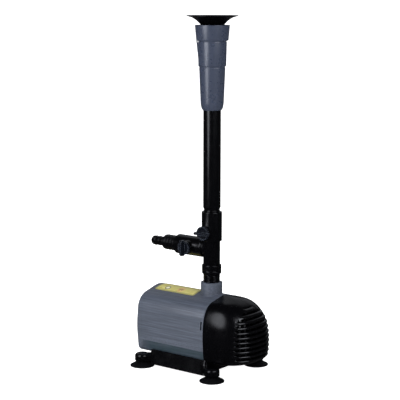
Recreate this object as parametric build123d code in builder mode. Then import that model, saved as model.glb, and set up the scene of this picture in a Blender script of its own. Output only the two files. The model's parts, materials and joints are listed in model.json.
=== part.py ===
from build123d import *
import os
from math import atan2, degrees, sqrt

# Fountain submersible pump.  A magnet-driven centrifugal pump sits in a moulded housing on a
# bracket with four suction cups, with a slotted strainer over its inlet.  A swivelling tee on
# the outlet carries two plug valves, a stepped hose tail, the riser tube and a fountain nozzle.
# All sizes are in millimetres.  +Z is up and the strainer's nose points along +X.  The origin
# is on the ground, under the middle of the pump's overall length and width.

os.makedirs("parts", exist_ok=True)

# Main places
RISER_X = 12.0                    # outlet, tee and riser axis
PUMP_Z = 56.0                     # height of the motor and pump axis
SEAM_X = RISER_X + 22.0           # where the strainer meets the housing
HOUSING_BACK = RISER_X - 101.8
BAY_FRONT = RISER_X - 20.0        # back of the rotor well's flange

# Housing cross-section: half-widths and heights of its corners, and their radii
FLOOR_HALF, FLOOR_Z, FLOOR_R = 46.5, 19.5, 9.0
WAIST_HALF, WAIST_Z, WAIST_R = 51.0, 58.0, 120.0
SHOULDER_HALF, SHOULDER_Z, SHOULDER_R = 46.5, 102.0, 24.0
CROWN_Z, CROWN_R = 114.3, 34.0
HOUSING_WALL = 2.8
CREASE_Z = 38.0                   # the side walls tuck in below this height

# Outlet collar
COLLAR_R, COLLAR_TOP_R, COLLAR_TOP = 15.8, 15.05, 129.8
SPIGOT_R = 12.35                  # outlet adapter's threaded spigot
WATERWAY_R = 9.0

# Strainer
NOSE_LENGTH = 66.0
STRAINER_WALL = 2.4
STRAINER_INSET = 0.5              # the strainer is a little slimmer than the housing
NOSE_HALF, NOSE_TOP, NOSE_BOTTOM = 50.5, 112.6, 21.0
NOSE_TURN = 42.0                  # where the nose starts to turn in from the sides
NOSE_FALL = 34.0                  # where its top starts to fall
NOSE_FLAT_Y, NOSE_FLAT_TOP = 22.0, 80.0
RIB_START_X = RISER_X + 67.0      # the slots run forward of here
SLOT_PITCH, SLOT_HEIGHT, SLOT_COUNT, FIRST_SLOT_Z = 6.9, 3.0, 10, 32.0

# Tee, valves and hose tail
TEE_STEM_R, TEE_WIDE_R, BRANCH_R = 12.3, 14.8, 14.4
TEE_BOTTOM, TEE_WAIST_Z, TEE_TOP = 145.0, 190.4, 233.5
BRANCH_Z, BRANCH_END_X = 178.8, RISER_X - 62.0
PLUG_R, PLUG_BORE_R = 8.0, 6.0
RUNNING_GAP = 0.05                # radial clearance of everything that turns or slides
RISER_VALVE_Z = 204.0
BRANCH_VALVE_X = RISER_X - 34.5

# Riser and nozzle
RISER_R, RISER_BORE_R, RISER_NECK_R = 12.65, 10.5, 11.85
RISER_SHOULDER, NOZZLE_BOTTOM, NOZZLE_RIM = 239.5, 380.0, 500.7
STEM_R = 3.0
FLARE_R, FLARE_TOP = 36.15, 513.9

# Feet
FOOT_XS = {"rear": RISER_X - 87.3, "front": RISER_X + 42.3}
FOOT_YS = {"right": -54.1, "left": 54.1}
CUP_R = 18.0
EAR_R, EAR_BOTTOM, EAR_TOP = 11.0, 8.5, 19.0


def pump_outline(inset=0.0):
    """The housing's cross-section as a face in local (Y, Z), drawn in by inset."""
    corners = (
        (FLOOR_HALF - inset, FLOOR_Z + inset),
        (WAIST_HALF - inset, WAIST_Z),
        (SHOULDER_HALF - inset, SHOULDER_Z - inset),
    )
    radii = (FLOOR_R - inset / 2, WAIST_R, SHOULDER_R - inset)
    left = [(-y, z) for y, z in reversed(corners)]
    with BuildSketch() as outline:
        with BuildLine():
            FilletPolyline(
                *corners,
                (0, CROWN_Z - inset),
                *left,
                radius=[*radii, CROWN_R, *reversed(radii)],
                close=True,
            )
        make_face()
    return outline.sketch


def along_x(x, z=PUMP_Z):
    """The plane across the pump axis at x: its own Z points forward."""
    return Plane(origin=(x, 0, z), x_dir=(0, 1, 0), z_dir=(1, 0, 0))


def nose_solid(inset):
    """The strainer's rounded nose forward of the seam: its cross-section, cut to its plan
    and to its side view."""
    length = NOSE_LENGTH - inset
    with BuildPart() as nose:
        with BuildSketch(Plane.YZ.offset(SEAM_X)):
            add(pump_outline(STRAINER_INSET + inset))
        extrude(amount=length)
        with BuildSketch(Plane.XY):
            with BuildLine():
                FilletPolyline(
                    (SEAM_X, -60),
                    (SEAM_X, -NOSE_HALF + inset),
                    (SEAM_X + NOSE_TURN, -NOSE_HALF + inset),
                    (SEAM_X + length, -NOSE_FLAT_Y),
                    (SEAM_X + length, NOSE_FLAT_Y),
                    (SEAM_X + NOSE_TURN, NOSE_HALF - inset),
                    (SEAM_X, NOSE_HALF - inset),
                    (SEAM_X, 60),
                    (SEAM_X - 1, 60),
                    (SEAM_X - 1, -60),
                    radius=[0, 0, 50 - inset, 24 - 2 * inset, 24 - 2 * inset, 50 - inset, 0, 0, 0, 0],
                    close=True,
                )
            make_face()
        extrude(amount=140, mode=Mode.INTERSECT)
        with BuildSketch(Plane.XZ):
            with BuildLine():
                FilletPolyline(
                    (SEAM_X - 1, NOSE_TOP - inset),
                    (SEAM_X + NOSE_FALL, NOSE_TOP - inset),
                    (SEAM_X + length, NOSE_FLAT_TOP),
                    (SEAM_X + length, NOSE_BOTTOM + inset),
                    (SEAM_X - 1, NOSE_BOTTOM + inset),
                    radius=[0, 60 - inset, 38 - 2 * inset, 14 - inset, 0],
                    close=True,
                )
            make_face()
        extrude(amount=70, both=True, mode=Mode.INTERSECT)
    return nose.part


def turned(points, axis=Axis.Z):
    """A solid of revolution about the given axis from a closed outline in the XZ plane."""
    with BuildPart() as solid:
        with BuildSketch(Plane.XZ):
            with BuildLine():
                Polyline(*points, close=True)
            make_face()
        revolve(axis=axis)
    return solid.part


def ring(radius, section):
    """A round rubber ring about the origin's Z axis: radius to the middle of its section."""
    with BuildPart() as loop:
        with BuildSketch(Plane.XZ):
            with Locations((radius, 0)):
                Circle(section)
        revolve(axis=Axis.Z)
    return loop.part


# ---------------------------------------------------------------- housing

LATCH_X, LATCH_LENGTH = RISER_X + 18.25, 2.5
LATCH_Z, LATCH_HEIGHT = 75.5, 13.0
GLAND_Y, GLAND_Z = 20.0, 40.0
GLAND_THREAD_R = 7.0
HOUSING_LENGTH = SEAM_X - HOUSING_BACK

with BuildPart() as motor_housing:
    with BuildSketch(Plane.YZ.offset(HOUSING_BACK)):
        add(pump_outline())
    extrude(amount=HOUSING_LENGTH)
    fillet(faces().sort_by(Axis.X)[0].edges(), radius=2.2)
    # the lower side walls tuck in under a crease
    with BuildSketch(Plane.YZ.offset(HOUSING_BACK + 9)):
        with BuildLine():
            Polyline(
                (60, CREASE_Z), (48.4, CREASE_Z), (43.6, FLOOR_Z - 1), (60, FLOOR_Z - 1), close=True
            )
        make_face()
        mirror(about=Plane.YZ)
    extrude(amount=HOUSING_LENGTH, mode=Mode.SUBTRACT)
    # outlet collar
    with BuildSketch(Plane.XY.offset(SHOULDER_Z)):
        with Locations((RISER_X, 0)):
            Circle(COLLAR_R)
    extrude(amount=COLLAR_TOP - SHOULDER_Z)
    top_face = faces().sort_by(Axis.Z)[-1]
    chamfer(top_face.edges(), length=COLLAR_R - COLLAR_TOP_R, length2=1.6)
    foot_edges = edges().filter_by_position(Axis.X, RISER_X - 16, RISER_X + 16)
    foot_edges = foot_edges.filter_by_position(Axis.Z, 110, 116)
    fillet(foot_edges, radius=1.8)
    # motor bay and pump bay, open at the front
    with BuildSketch(Plane.YZ.offset(HOUSING_BACK + HOUSING_WALL)):
        add(pump_outline(HOUSING_WALL))
    extrude(amount=HOUSING_LENGTH, mode=Mode.SUBTRACT)
    with Locations((RISER_X, 0, SHOULDER_Z)):
        Cylinder(SPIGOT_R, 60, mode=Mode.SUBTRACT)
    # windows that the strainer's latches snap into, and the cable gland's hole
    with Locations((LATCH_X, 0, LATCH_Z)):
        Box(LATCH_LENGTH, 140, LATCH_HEIGHT, mode=Mode.SUBTRACT)
    with Locations(Location((HOUSING_BACK, GLAND_Y, GLAND_Z), (0, 90, 0))):
        Cylinder(GLAND_THREAD_R, 12, mode=Mode.SUBTRACT)
motor_housing.part.label = "motor_housing"
export_step(motor_housing.part, "parts/motor_housing.step")

# Printed label, stuck along the top of the housing behind the collar
LABEL_BACK, LABEL_FRONT, LABEL_HALF, LABEL_THICK = RISER_X - 92, RISER_X - 18.6, 19.5, 0.35

with BuildPart() as name_plate:
    with BuildSketch(Plane.YZ.offset(LABEL_BACK)):
        add(pump_outline(-LABEL_THICK))
        add(pump_outline(), mode=Mode.SUBTRACT)
    extrude(amount=LABEL_FRONT - LABEL_BACK)
    with BuildSketch(Plane.XY.offset(SHOULDER_Z - 4)):
        with Locations(((LABEL_BACK + LABEL_FRONT) / 2, 0)):
            RectangleRounded(LABEL_FRONT - LABEL_BACK, 2 * LABEL_HALF, 3.0)
    extrude(amount=20, mode=Mode.INTERSECT)
name_plate.part.label = "name_plate"
export_step(name_plate.part, "parts/name_plate.step")

# Cable gland in the rear wall: body, rubber seal and nut, empty of its cable
CABLE_R = 3.5
SEAL_R = 5.5
GLAND_OUT, GLAND_IN = 3.0, 6.0    # how far the body stands out of the wall and reaches in
NUT_LENGTH, NUT_WALL = 7.2, 2.5
GLAND_BACK = HOUSING_BACK - GLAND_OUT
SEAL_BACK = GLAND_BACK - NUT_LENGTH + NUT_WALL

with BuildPart() as cable_gland:
    with BuildSketch(Plane.YZ.offset(GLAND_BACK)):
        with Locations((GLAND_Y, GLAND_Z)):
            RegularPolygon(9.6, 6)
    extrude(amount=GLAND_OUT)
    chamfer(faces().sort_by(Axis.X)[0].edges(), length=0.8)
    with BuildSketch(Plane.YZ.offset(HOUSING_BACK)):
        with Locations((GLAND_Y, GLAND_Z)):
            Circle(GLAND_THREAD_R)
    extrude(amount=GLAND_IN)
    with BuildSketch(Plane.YZ.offset(GLAND_BACK)):
        with Locations((GLAND_Y, GLAND_Z)):
            Circle(SEAL_R)
    extrude(amount=GLAND_OUT + GLAND_IN, mode=Mode.SUBTRACT)
cable_gland.part.label = "cable_gland"
export_step(cable_gland.part, "parts/cable_gland.step")

SEAL_LENGTH = 14.0

with BuildPart() as gland_seal:
    with BuildSketch(Plane.YZ.offset(SEAL_BACK)):
        with Locations((GLAND_Y, GLAND_Z)):
            Circle(SEAL_R)
            Circle(CABLE_R, mode=Mode.SUBTRACT)
    extrude(amount=SEAL_LENGTH)
gland_seal.part.label = "gland_seal"
export_step(gland_seal.part, "parts/gland_seal.step")

with BuildPart() as gland_nut:
    with BuildSketch(Plane.YZ.offset(GLAND_BACK)):
        with Locations((GLAND_Y, GLAND_Z)):
            Circle(8.6)
    extrude(amount=-NUT_LENGTH)
    fillet(faces().sort_by(Axis.X)[0].edges(), radius=2.6)
    # grip flutes round the nut
    with BuildSketch(Plane.YZ.offset(GLAND_BACK)):
        with Locations((GLAND_Y, GLAND_Z)):
            with PolarLocations(9.2, 12):
                Circle(1.0)
    extrude(amount=-NUT_LENGTH + 2.6, mode=Mode.SUBTRACT)
    with BuildSketch(Plane.YZ.offset(GLAND_BACK)):
        with Locations((GLAND_Y, GLAND_Z)):
            Circle(SEAL_R)
    extrude(amount=-NUT_LENGTH + NUT_WALL, mode=Mode.SUBTRACT)
    with BuildSketch(Plane.YZ.offset(GLAND_BACK)):
        with Locations((GLAND_Y, GLAND_Z)):
            Circle(CABLE_R + 0.5)
    extrude(amount=-NUT_LENGTH, mode=Mode.SUBTRACT)
gland_nut.part.label = "gland_nut"
export_step(gland_nut.part, "parts/gland_nut.step")

# ---------------------------------------------------------------- motor

ROTOR_R, MAGNET_BACK, MAGNET_FRONT = 11.0, RISER_X - 70, RISER_X - 30
WELL_R, WELL_WALL = 12.5, 1.0
WELL_BACK = RISER_X - 76
POCKET_R, POCKET_BACK = 4.5, RISER_X - 80
FLANGE_THICK = 2.5
CHAMBER_BACK = BAY_FRONT + FLANGE_THICK
CORE_BORE = WELL_R + WELL_WALL + 0.3
STACK_BACK, STACK_FRONT = RISER_X - 66, RISER_X - 34
STACK_MIDDLE = (STACK_BACK + STACK_FRONT) / 2
STACK_DEPTH = STACK_FRONT - STACK_BACK
LEG_Y, LEG_WIDTH = 23.0, 14.0
POLE_BOTTOM, POLE_TOP, YOKE_BOTTOM, YOKE_TOP = 36.0, 72.0, 95.0, 102.8

with BuildPart() as rotor_well:
    # the tube that keeps the water off the windings, closed at the back
    with BuildSketch(along_x(WELL_BACK)):
        Circle(WELL_R + WELL_WALL)
    extrude(amount=BAY_FRONT - WELL_BACK)
    with BuildSketch(along_x(POCKET_BACK)):
        Circle(POCKET_R + WELL_WALL)
    extrude(amount=WELL_BACK - POCKET_BACK)
    # its flange closes the motor bay
    with BuildSketch(Plane.YZ.offset(BAY_FRONT)):
        add(pump_outline(HOUSING_WALL + 0.15))
    extrude(amount=FLANGE_THICK)
    with BuildSketch(along_x(WELL_BACK + WELL_WALL)):
        Circle(WELL_R)
    extrude(amount=100, mode=Mode.SUBTRACT)
    with BuildSketch(along_x(POCKET_BACK + WELL_WALL)):
        Circle(POCKET_R)
    extrude(amount=20, mode=Mode.SUBTRACT)
rotor_well.part.label = "rotor_well"
export_step(rotor_well.part, "parts/rotor_well.step")

with BuildPart() as stator_core:
    # laminated core: two poles round the rotor well, two legs up and a yoke across
    with BuildSketch(Plane.YZ.offset(STACK_BACK)):
        with BuildLine():
            outer = LEG_Y + LEG_WIDTH / 2
            inner = LEG_Y - LEG_WIDTH / 2
            Polyline(
                (-outer, POLE_BOTTOM),
                (outer, POLE_BOTTOM),
                (outer, YOKE_TOP),
                (-outer, YOKE_TOP),
                close=True,
            )
        make_face()
        with Locations((0, (POLE_TOP + YOKE_BOTTOM) / 2)):
            Rectangle(2 * inner, YOKE_BOTTOM - POLE_TOP, mode=Mode.SUBTRACT)
        with Locations((0, PUMP_Z)):
            Circle(CORE_BORE, mode=Mode.SUBTRACT)
            # slits that part the two poles above and below the bore
            Rectangle(3.0, 2 * (POLE_TOP - POLE_BOTTOM), mode=Mode.SUBTRACT)
        with Locations((0, (YOKE_BOTTOM + YOKE_TOP) / 2)):
            Rectangle(2 * inner + 1, YOKE_TOP - YOKE_BOTTOM)
    extrude(amount=STACK_DEPTH)
stator_core.part.label = "stator_core"
export_step(stator_core.part, "parts/stator_core.step")

BOBBIN_GAP, BOBBIN_WALL, WINDING_DEPTH = 0.3, 1.2, 6.5
BOBBIN_BOTTOM, BOBBIN_TOP = POLE_TOP + 0.5, YOKE_BOTTOM - 0.5
BOBBIN_X, BOBBIN_Y = STACK_DEPTH + 2 * BOBBIN_GAP, LEG_WIDTH + 2 * BOBBIN_GAP
TUBE_X, TUBE_Y = BOBBIN_X + 2 * BOBBIN_WALL, BOBBIN_Y + 2 * BOBBIN_WALL
WOUND_X, WOUND_Y = TUBE_X + 2 * WINDING_DEPTH, TUBE_Y + 2 * WINDING_DEPTH
LEG_PLACES = ((STACK_MIDDLE, -LEG_Y), (STACK_MIDDLE, LEG_Y))

with BuildPart() as winding_bobbins:
    for level in (BOBBIN_BOTTOM, BOBBIN_TOP - BOBBIN_WALL):
        with BuildSketch(Plane.XY.offset(level)):
            with Locations(*LEG_PLACES):
                RectangleRounded(WOUND_X + 1, WOUND_Y + 1, 3)
        extrude(amount=BOBBIN_WALL)
    with BuildSketch(Plane.XY.offset(BOBBIN_BOTTOM)):
        with Locations(*LEG_PLACES):
            RectangleRounded(TUBE_X, TUBE_Y, 1)
    extrude(amount=BOBBIN_TOP - BOBBIN_BOTTOM)
    with BuildSketch(Plane.XY.offset(BOBBIN_BOTTOM)):
        with Locations(*LEG_PLACES):
            Rectangle(BOBBIN_X, BOBBIN_Y)
    extrude(amount=BOBBIN_TOP - BOBBIN_BOTTOM, mode=Mode.SUBTRACT)
winding_bobbins.part.label = "winding_bobbins"
export_step(winding_bobbins.part, "parts/winding_bobbins.step")

with BuildPart() as copper_windings:
    with BuildSketch(Plane.XY.offset(BOBBIN_BOTTOM + BOBBIN_WALL)):
        with Locations(*LEG_PLACES):
            RectangleRounded(WOUND_X, WOUND_Y, 5)
            RectangleRounded(TUBE_X, TUBE_Y, 1, mode=Mode.SUBTRACT)
    extrude(amount=BOBBIN_TOP - BOBBIN_BOTTOM - 2 * BOBBIN_WALL)
copper_windings.part.label = "copper_windings"
export_step(copper_windings.part, "parts/copper_windings.step")

with BuildPart() as potting_resin:
    # fills the motor bay round the core, the windings and the rotor well
    with BuildSketch(Plane.YZ.offset(HOUSING_BACK + HOUSING_WALL)):
        add(pump_outline(HOUSING_WALL))
    extrude(amount=BAY_FRONT - HOUSING_BACK - HOUSING_WALL)
    with Locations((STACK_MIDDLE, 0, (POLE_BOTTOM + YOKE_TOP) / 2)):
        Box(STACK_DEPTH, 2 * LEG_Y + LEG_WIDTH, YOKE_TOP - POLE_BOTTOM, mode=Mode.SUBTRACT)
    with Locations((STACK_MIDDLE, 0, (BOBBIN_BOTTOM + BOBBIN_TOP) / 2)):
        Box(WOUND_X + 1, 2 * LEG_Y + WOUND_Y + 1, BOBBIN_TOP - BOBBIN_BOTTOM, mode=Mode.SUBTRACT)
    with BuildSketch(along_x(POCKET_BACK)):
        Circle(WELL_R + WELL_WALL)
    extrude(amount=BAY_FRONT - POCKET_BACK, mode=Mode.SUBTRACT)
    with Locations(Location((HOUSING_BACK + HOUSING_WALL, GLAND_Y, GLAND_Z), (0, 90, 0))):
        Cylinder(GLAND_THREAD_R, 16, mode=Mode.SUBTRACT)
potting_resin.part.label = "potting_resin"
export_step(potting_resin.part, "parts/potting_resin.step")

# ---------------------------------------------------------------- rotor and impeller

SHAFT_R, SHAFT_BACK, SHAFT_FRONT = 1.5, POCKET_BACK + 1.5, RISER_X + 11
HUB_R, DOG_R, DOG_INNER_R = 4.0, 6.5, 2.4
DOG_BACK, DOG_FRONT, DOG_GAP = RISER_X - 26, RISER_X - 20, 0.5
DOG_SPAN = 80                     # degrees that each dog fills
IMPELLER_R, VANE_THICK, VANE_COUNT = 24.0, 1.6, 6
SHROUD_BACK, SHROUD_THICK = RISER_X - 15.5, 2.0
VANE_FRONT = RISER_X + 4


def dog(x, length, turn):
    """A driving dog: a sector of a ring round the pump axis, centred turn degrees round."""
    with BuildPart() as lug:
        with BuildSketch(along_x(x)):
            with BuildLine():
                rim = CenterArc((0, 0), DOG_R, turn - DOG_SPAN / 2, DOG_SPAN)
                root = CenterArc((0, 0), DOG_INNER_R, turn - DOG_SPAN / 2, DOG_SPAN)
                Line(rim @ 0, root @ 0)
                Line(rim @ 1, root @ 1)
            make_face()
        extrude(amount=length)
    return lug.part


with BuildPart() as pump_shaft:
    with BuildSketch(along_x(SHAFT_BACK)):
        Circle(SHAFT_R)
    extrude(amount=SHAFT_FRONT - SHAFT_BACK)
    chamfer(edges().filter_by(GeomType.CIRCLE), length=0.3)
pump_shaft.part.label = "pump_shaft"
export_step(pump_shaft.part, "parts/pump_shaft.step")

with BuildPart() as rear_bush:
    with BuildSketch(along_x(POCKET_BACK + WELL_WALL)):
        Circle(POCKET_R)
    extrude(amount=5.0)
    with BuildSketch(along_x(SHAFT_BACK)):
        Circle(SHAFT_R)
    extrude(amount=20, mode=Mode.SUBTRACT)
rear_bush.part.label = "rear_bush"
export_step(rear_bush.part, "parts/rear_bush.step")

with BuildPart() as rotor_magnet:
    with BuildSketch(along_x(MAGNET_BACK)):
        Circle(ROTOR_R)
        Circle(HUB_R, mode=Mode.SUBTRACT)
    extrude(amount=MAGNET_FRONT - MAGNET_BACK)
    chamfer(edges().filter_by(GeomType.CIRCLE).group_by(SortBy.RADIUS)[-1], length=0.6)
rotor_magnet.part.label = "rotor_magnet"
export_step(rotor_magnet.part, "parts/rotor_magnet.step")

with BuildPart() as rotor_sleeve:
    with BuildSketch(along_x(MAGNET_BACK - 1.5)):
        Circle(HUB_R)
    extrude(amount=DOG_BACK - MAGNET_BACK + 1.5)
    for start in (MAGNET_BACK - 1.5, MAGNET_FRONT):
        with BuildSketch(along_x(start)):
            Circle(ROTOR_R - 1.5)
        extrude(amount=1.5)
    add(dog(DOG_BACK, DOG_FRONT - DOG_BACK - DOG_GAP, 90))
    with BuildSketch(along_x(MAGNET_BACK - 2)):
        Circle(SHAFT_R + RUNNING_GAP)
    extrude(amount=80, mode=Mode.SUBTRACT)
rotor_sleeve.part.label = "rotor_sleeve"
export_step(rotor_sleeve.part, "parts/rotor_sleeve.step")

with BuildPart() as impeller:
    with BuildSketch(along_x(DOG_FRONT)):
        Circle(DOG_R)
    extrude(amount=VANE_FRONT - DOG_FRONT)
    with BuildSketch(along_x(SHROUD_BACK)):
        Circle(IMPELLER_R)
    extrude(amount=SHROUD_THICK)
    # straight vanes, because the motor may start either way round
    with BuildSketch(along_x(SHROUD_BACK)):
        with PolarLocations((DOG_R + IMPELLER_R - 2) / 2, VANE_COUNT):
            Rectangle(IMPELLER_R - DOG_R + 2, VANE_THICK)
    extrude(amount=VANE_FRONT - SHROUD_BACK)
    add(dog(DOG_BACK + DOG_GAP, DOG_FRONT - DOG_BACK - DOG_GAP + 0.2, -90))
    with BuildSketch(along_x(DOG_BACK)):
        Circle(SHAFT_R + RUNNING_GAP)
    extrude(amount=60, mode=Mode.SUBTRACT)
impeller.part.label = "impeller"
export_step(impeller.part, "parts/impeller.step")

# ---------------------------------------------------------------- pump chamber

CHAMBER_R, CASING_R = 29.5, 33.0
CASING_FRONT = RISER_X + 9
COVER_THICK = 2.5
COVER_FRONT = CASING_FRONT + COVER_THICK
LUG_R, LUG_RING = 4.5, 37.0
SCREW_R, SCREW_HEAD_R, SCREW_HEAD = 1.6, 3.0, 2.0
SCREW_DEPTH = 12.0
PORT_BOSS_R, PORT_NECK_TOP, PORT_SHOULDER, PORT_TOP = 15.3, 91.0, 95.0, 107.0
SEAL_SECTION, SEAL_RING_R = 0.85, 31.25
SEAL_GROOVE = 2 * SEAL_SECTION

with BuildPart() as volute_casing:
    with BuildSketch(along_x(CHAMBER_BACK)):
        Circle(CASING_R)
        with PolarLocations(LUG_RING, 4, start_angle=45):
            Circle(LUG_R)
            Rectangle(2 * LUG_R, 2 * LUG_R)
    extrude(amount=CASING_FRONT - CHAMBER_BACK)
    # outlet port under the collar: a neck no thicker than the chamber, then the threaded boss
    with BuildSketch(Plane.XY.offset(PUMP_Z)):
        with Locations(((CASING_FRONT + CHAMBER_BACK) / 2, 0)):
            Rectangle(CASING_FRONT - CHAMBER_BACK, 2 * PORT_BOSS_R)
    extrude(amount=PORT_NECK_TOP - PUMP_Z)
    with BuildSketch(Plane.XY.offset(PORT_NECK_TOP)):
        with Locations((RISER_X, 0)):
            Circle(PORT_BOSS_R)
    extrude(amount=PORT_TOP - PORT_NECK_TOP)
    with BuildSketch(along_x(CHAMBER_BACK)):
        Circle(CHAMBER_R)
    extrude(amount=60, mode=Mode.SUBTRACT)
    with BuildSketch(Plane.XY.offset(PUMP_Z)):
        with Locations((RISER_X, 0)):
            Circle(WATERWAY_R - 1)
    extrude(amount=60, mode=Mode.SUBTRACT)
    with BuildSketch(Plane.XY.offset(PORT_SHOULDER)):
        with Locations((RISER_X, 0)):
            Circle(SPIGOT_R)
    extrude(amount=30, mode=Mode.SUBTRACT)
    # grooves for the front and back seals, and the screws' pilot holes
    for start, way in ((CASING_FRONT, -1), (CHAMBER_BACK, 1)):
        with BuildSketch(along_x(start)):
            Circle(SEAL_RING_R + SEAL_SECTION)
            Circle(SEAL_RING_R - SEAL_SECTION, mode=Mode.SUBTRACT)
        extrude(amount=way * SEAL_GROOVE, mode=Mode.SUBTRACT)
    with BuildSketch(along_x(CASING_FRONT)):
        with PolarLocations(LUG_RING, 4, start_angle=45):
            Circle(SCREW_R)
    extrude(amount=-SCREW_DEPTH, mode=Mode.SUBTRACT)
volute_casing.part.label = "volute_casing"
export_step(volute_casing.part, "parts/volute_casing.step")

for name, place in (
    ("chamber_rear_seal", CHAMBER_BACK + SEAL_SECTION),
    ("chamber_front_seal", CASING_FRONT - SEAL_SECTION),
):
    with BuildPart(along_x(place)) as chamber_seal:
        add(ring(SEAL_RING_R, SEAL_SECTION))
    chamber_seal.part.label = name
    export_step(chamber_seal.part, f"parts/{name}.step")

INLET_R, INLET_LIP = 12.0, 3.5
BUSH_R, BUSH_LENGTH = 3.2, 4.0

with BuildPart() as volute_cover:
    with BuildSketch(along_x(CASING_FRONT)):
        Circle(CASING_R)
        with PolarLocations(LUG_RING, 4, start_angle=45):
            Circle(LUG_R)
            Rectangle(2 * LUG_R, 2 * LUG_R)
        Circle(INLET_R, mode=Mode.SUBTRACT)
    extrude(amount=COVER_THICK)
    # inlet eye, with a three-legged spider that holds the front bush
    with BuildSketch(along_x(CASING_FRONT)):
        Circle(INLET_R + 2)
        Circle(INLET_R, mode=Mode.SUBTRACT)
    extrude(amount=COVER_THICK + INLET_LIP)
    with BuildSketch(along_x(CASING_FRONT)):
        Circle(BUSH_R + 2)
        with PolarLocations(INLET_R / 2 + 1, 3, start_angle=90):
            Rectangle(INLET_R + 1, 2.4)
    extrude(amount=COVER_THICK + 1.5)
    with BuildSketch(along_x(CASING_FRONT)):
        Circle(BUSH_R)
    extrude(amount=BUSH_LENGTH - 0.8, mode=Mode.SUBTRACT)
    with BuildSketch(along_x(CASING_FRONT)):
        with PolarLocations(LUG_RING, 4, start_angle=45):
            Circle(SCREW_R)
    extrude(amount=COVER_THICK, mode=Mode.SUBTRACT)
volute_cover.part.label = "volute_cover"
export_step(volute_cover.part, "parts/volute_cover.step")

with BuildPart() as front_bush:
    with BuildSketch(along_x(CASING_FRONT)):
        Circle(BUSH_R)
    extrude(amount=BUSH_LENGTH - 0.8)
    with BuildSketch(along_x(CASING_FRONT)):
        Circle(SHAFT_R)
    extrude(amount=SHAFT_FRONT - CASING_FRONT, mode=Mode.SUBTRACT)
front_bush.part.label = "front_bush"
export_step(front_bush.part, "parts/front_bush.step")

with BuildPart() as cover_screws:
    with BuildSketch(along_x(COVER_FRONT - COVER_THICK - SCREW_DEPTH + 1)):
        with PolarLocations(LUG_RING, 4, start_angle=45):
            Circle(SCREW_R)
    extrude(amount=COVER_THICK + SCREW_DEPTH - 1)
    with BuildSketch(along_x(COVER_FRONT)):
        with PolarLocations(LUG_RING, 4, start_angle=45):
            Circle(SCREW_HEAD_R)
    extrude(amount=SCREW_HEAD)
    fillet(edges().filter_by(GeomType.CIRCLE).group_by(Axis.X)[-1], radius=0.6)
    # cross recesses in the heads
    with BuildSketch(along_x(COVER_FRONT + SCREW_HEAD)):
        with PolarLocations(LUG_RING, 4, start_angle=45):
            Rectangle(3.4, 0.8)
            Rectangle(0.8, 3.4)
    extrude(amount=-1.2, mode=Mode.SUBTRACT)
cover_screws.part.label = "cover_screws"
export_step(cover_screws.part, "parts/cover_screws.step")

# ---------------------------------------------------------------- strainer

TONGUE_GAP, TONGUE_THICK, TONGUE_LENGTH = 0.3, 1.8, 5.0
TONGUE_INSET = HOUSING_WALL + TONGUE_GAP
BAR_PITCH, BAR_WIDE, BAR_COUNT = 16.0, 2.4, 5
SLOT_MIDDLE_Z = FIRST_SLOT_Z + SLOT_PITCH * (SLOT_COUNT - 1) / 2
SLOT_ZONE = SLOT_PITCH * SLOT_COUNT

with BuildPart() as bar_slabs:
    with BuildSketch(Plane.XY.offset(SLOT_MIDDLE_Z - SLOT_ZONE / 2)):
        with Locations((RIB_START_X + 20, 0)):
            with GridLocations(1, BAR_PITCH, 1, BAR_COUNT):
                Rectangle(40, BAR_WIDE)
    extrude(amount=SLOT_ZONE)

with BuildPart() as inner_bars:
    add(nose_solid(1.5))
    add(nose_solid(4.5), mode=Mode.SUBTRACT)
    add(bar_slabs.part, mode=Mode.INTERSECT)

with BuildPart() as strainer_cage:
    add(nose_solid(0))
    add(nose_solid(STRAINER_WALL), mode=Mode.SUBTRACT)
    # horizontal slots that wrap round the nose
    for number in range(SLOT_COUNT):
        with Locations((RIB_START_X + 20, 0, FIRST_SLOT_Z + SLOT_PITCH * number)):
            Box(40, 120, SLOT_HEIGHT, mode=Mode.SUBTRACT)
    # upright bars inside tie the ribs together
    add(inner_bars.part)
    # tongue that fits inside the housing's mouth
    with BuildSketch(Plane.YZ.offset(SEAM_X - TONGUE_LENGTH)):
        add(pump_outline(TONGUE_INSET))
        add(pump_outline(TONGUE_INSET + TONGUE_THICK), mode=Mode.SUBTRACT)
    extrude(amount=TONGUE_LENGTH)
    with BuildSketch(Plane.YZ.offset(SEAM_X)):
        add(pump_outline(STRAINER_INSET + 0.2))
        add(pump_outline(TONGUE_INSET + TONGUE_THICK), mode=Mode.SUBTRACT)
    extrude(amount=2.0)
    # room for the two latch arms
    with Locations((SEAM_X - TONGUE_LENGTH / 2, 0, LATCH_Z)):
        Box(TONGUE_LENGTH + 4.5, 140, LATCH_HEIGHT + 5, mode=Mode.SUBTRACT)
strainer_cage.part.label = "strainer_cage"
export_step(strainer_cage.part, "parts/strainer_cage.step")

ARM_THICK, ARM_OUT, ARM_LENGTH = 1.6, 44.6, 20.0
ROOT_OUT, ROOT_LENGTH = 46.5, 7.0
HOOK_OUT, HOOK_LENGTH, HOOK_HEIGHT = 47.9, 1.8, 11.5

with BuildPart() as strainer_latches:
    # two springy arms with hooks that show in the housing's windows
    for side in (-1, 1):
        with Locations((SEAM_X + 1, side * (ARM_OUT - ARM_THICK / 2), LATCH_Z)):
            Box(ARM_LENGTH, ARM_THICK, LATCH_HEIGHT + 3)
        with Locations((SEAM_X + 7.5, side * (ARM_OUT + ROOT_OUT) / 2, LATCH_Z - LATCH_HEIGHT / 4)):
            Box(ROOT_LENGTH, ROOT_OUT - ARM_OUT, LATCH_HEIGHT / 2)
        with Locations((LATCH_X, side * (ARM_OUT + HOOK_OUT) / 2, LATCH_Z)):
            Box(HOOK_LENGTH, HOOK_OUT - ARM_OUT, HOOK_HEIGHT)
strainer_latches.part.label = "strainer_latches"
export_step(strainer_latches.part, "parts/strainer_latches.step")

# ---------------------------------------------------------------- base and feet

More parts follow.
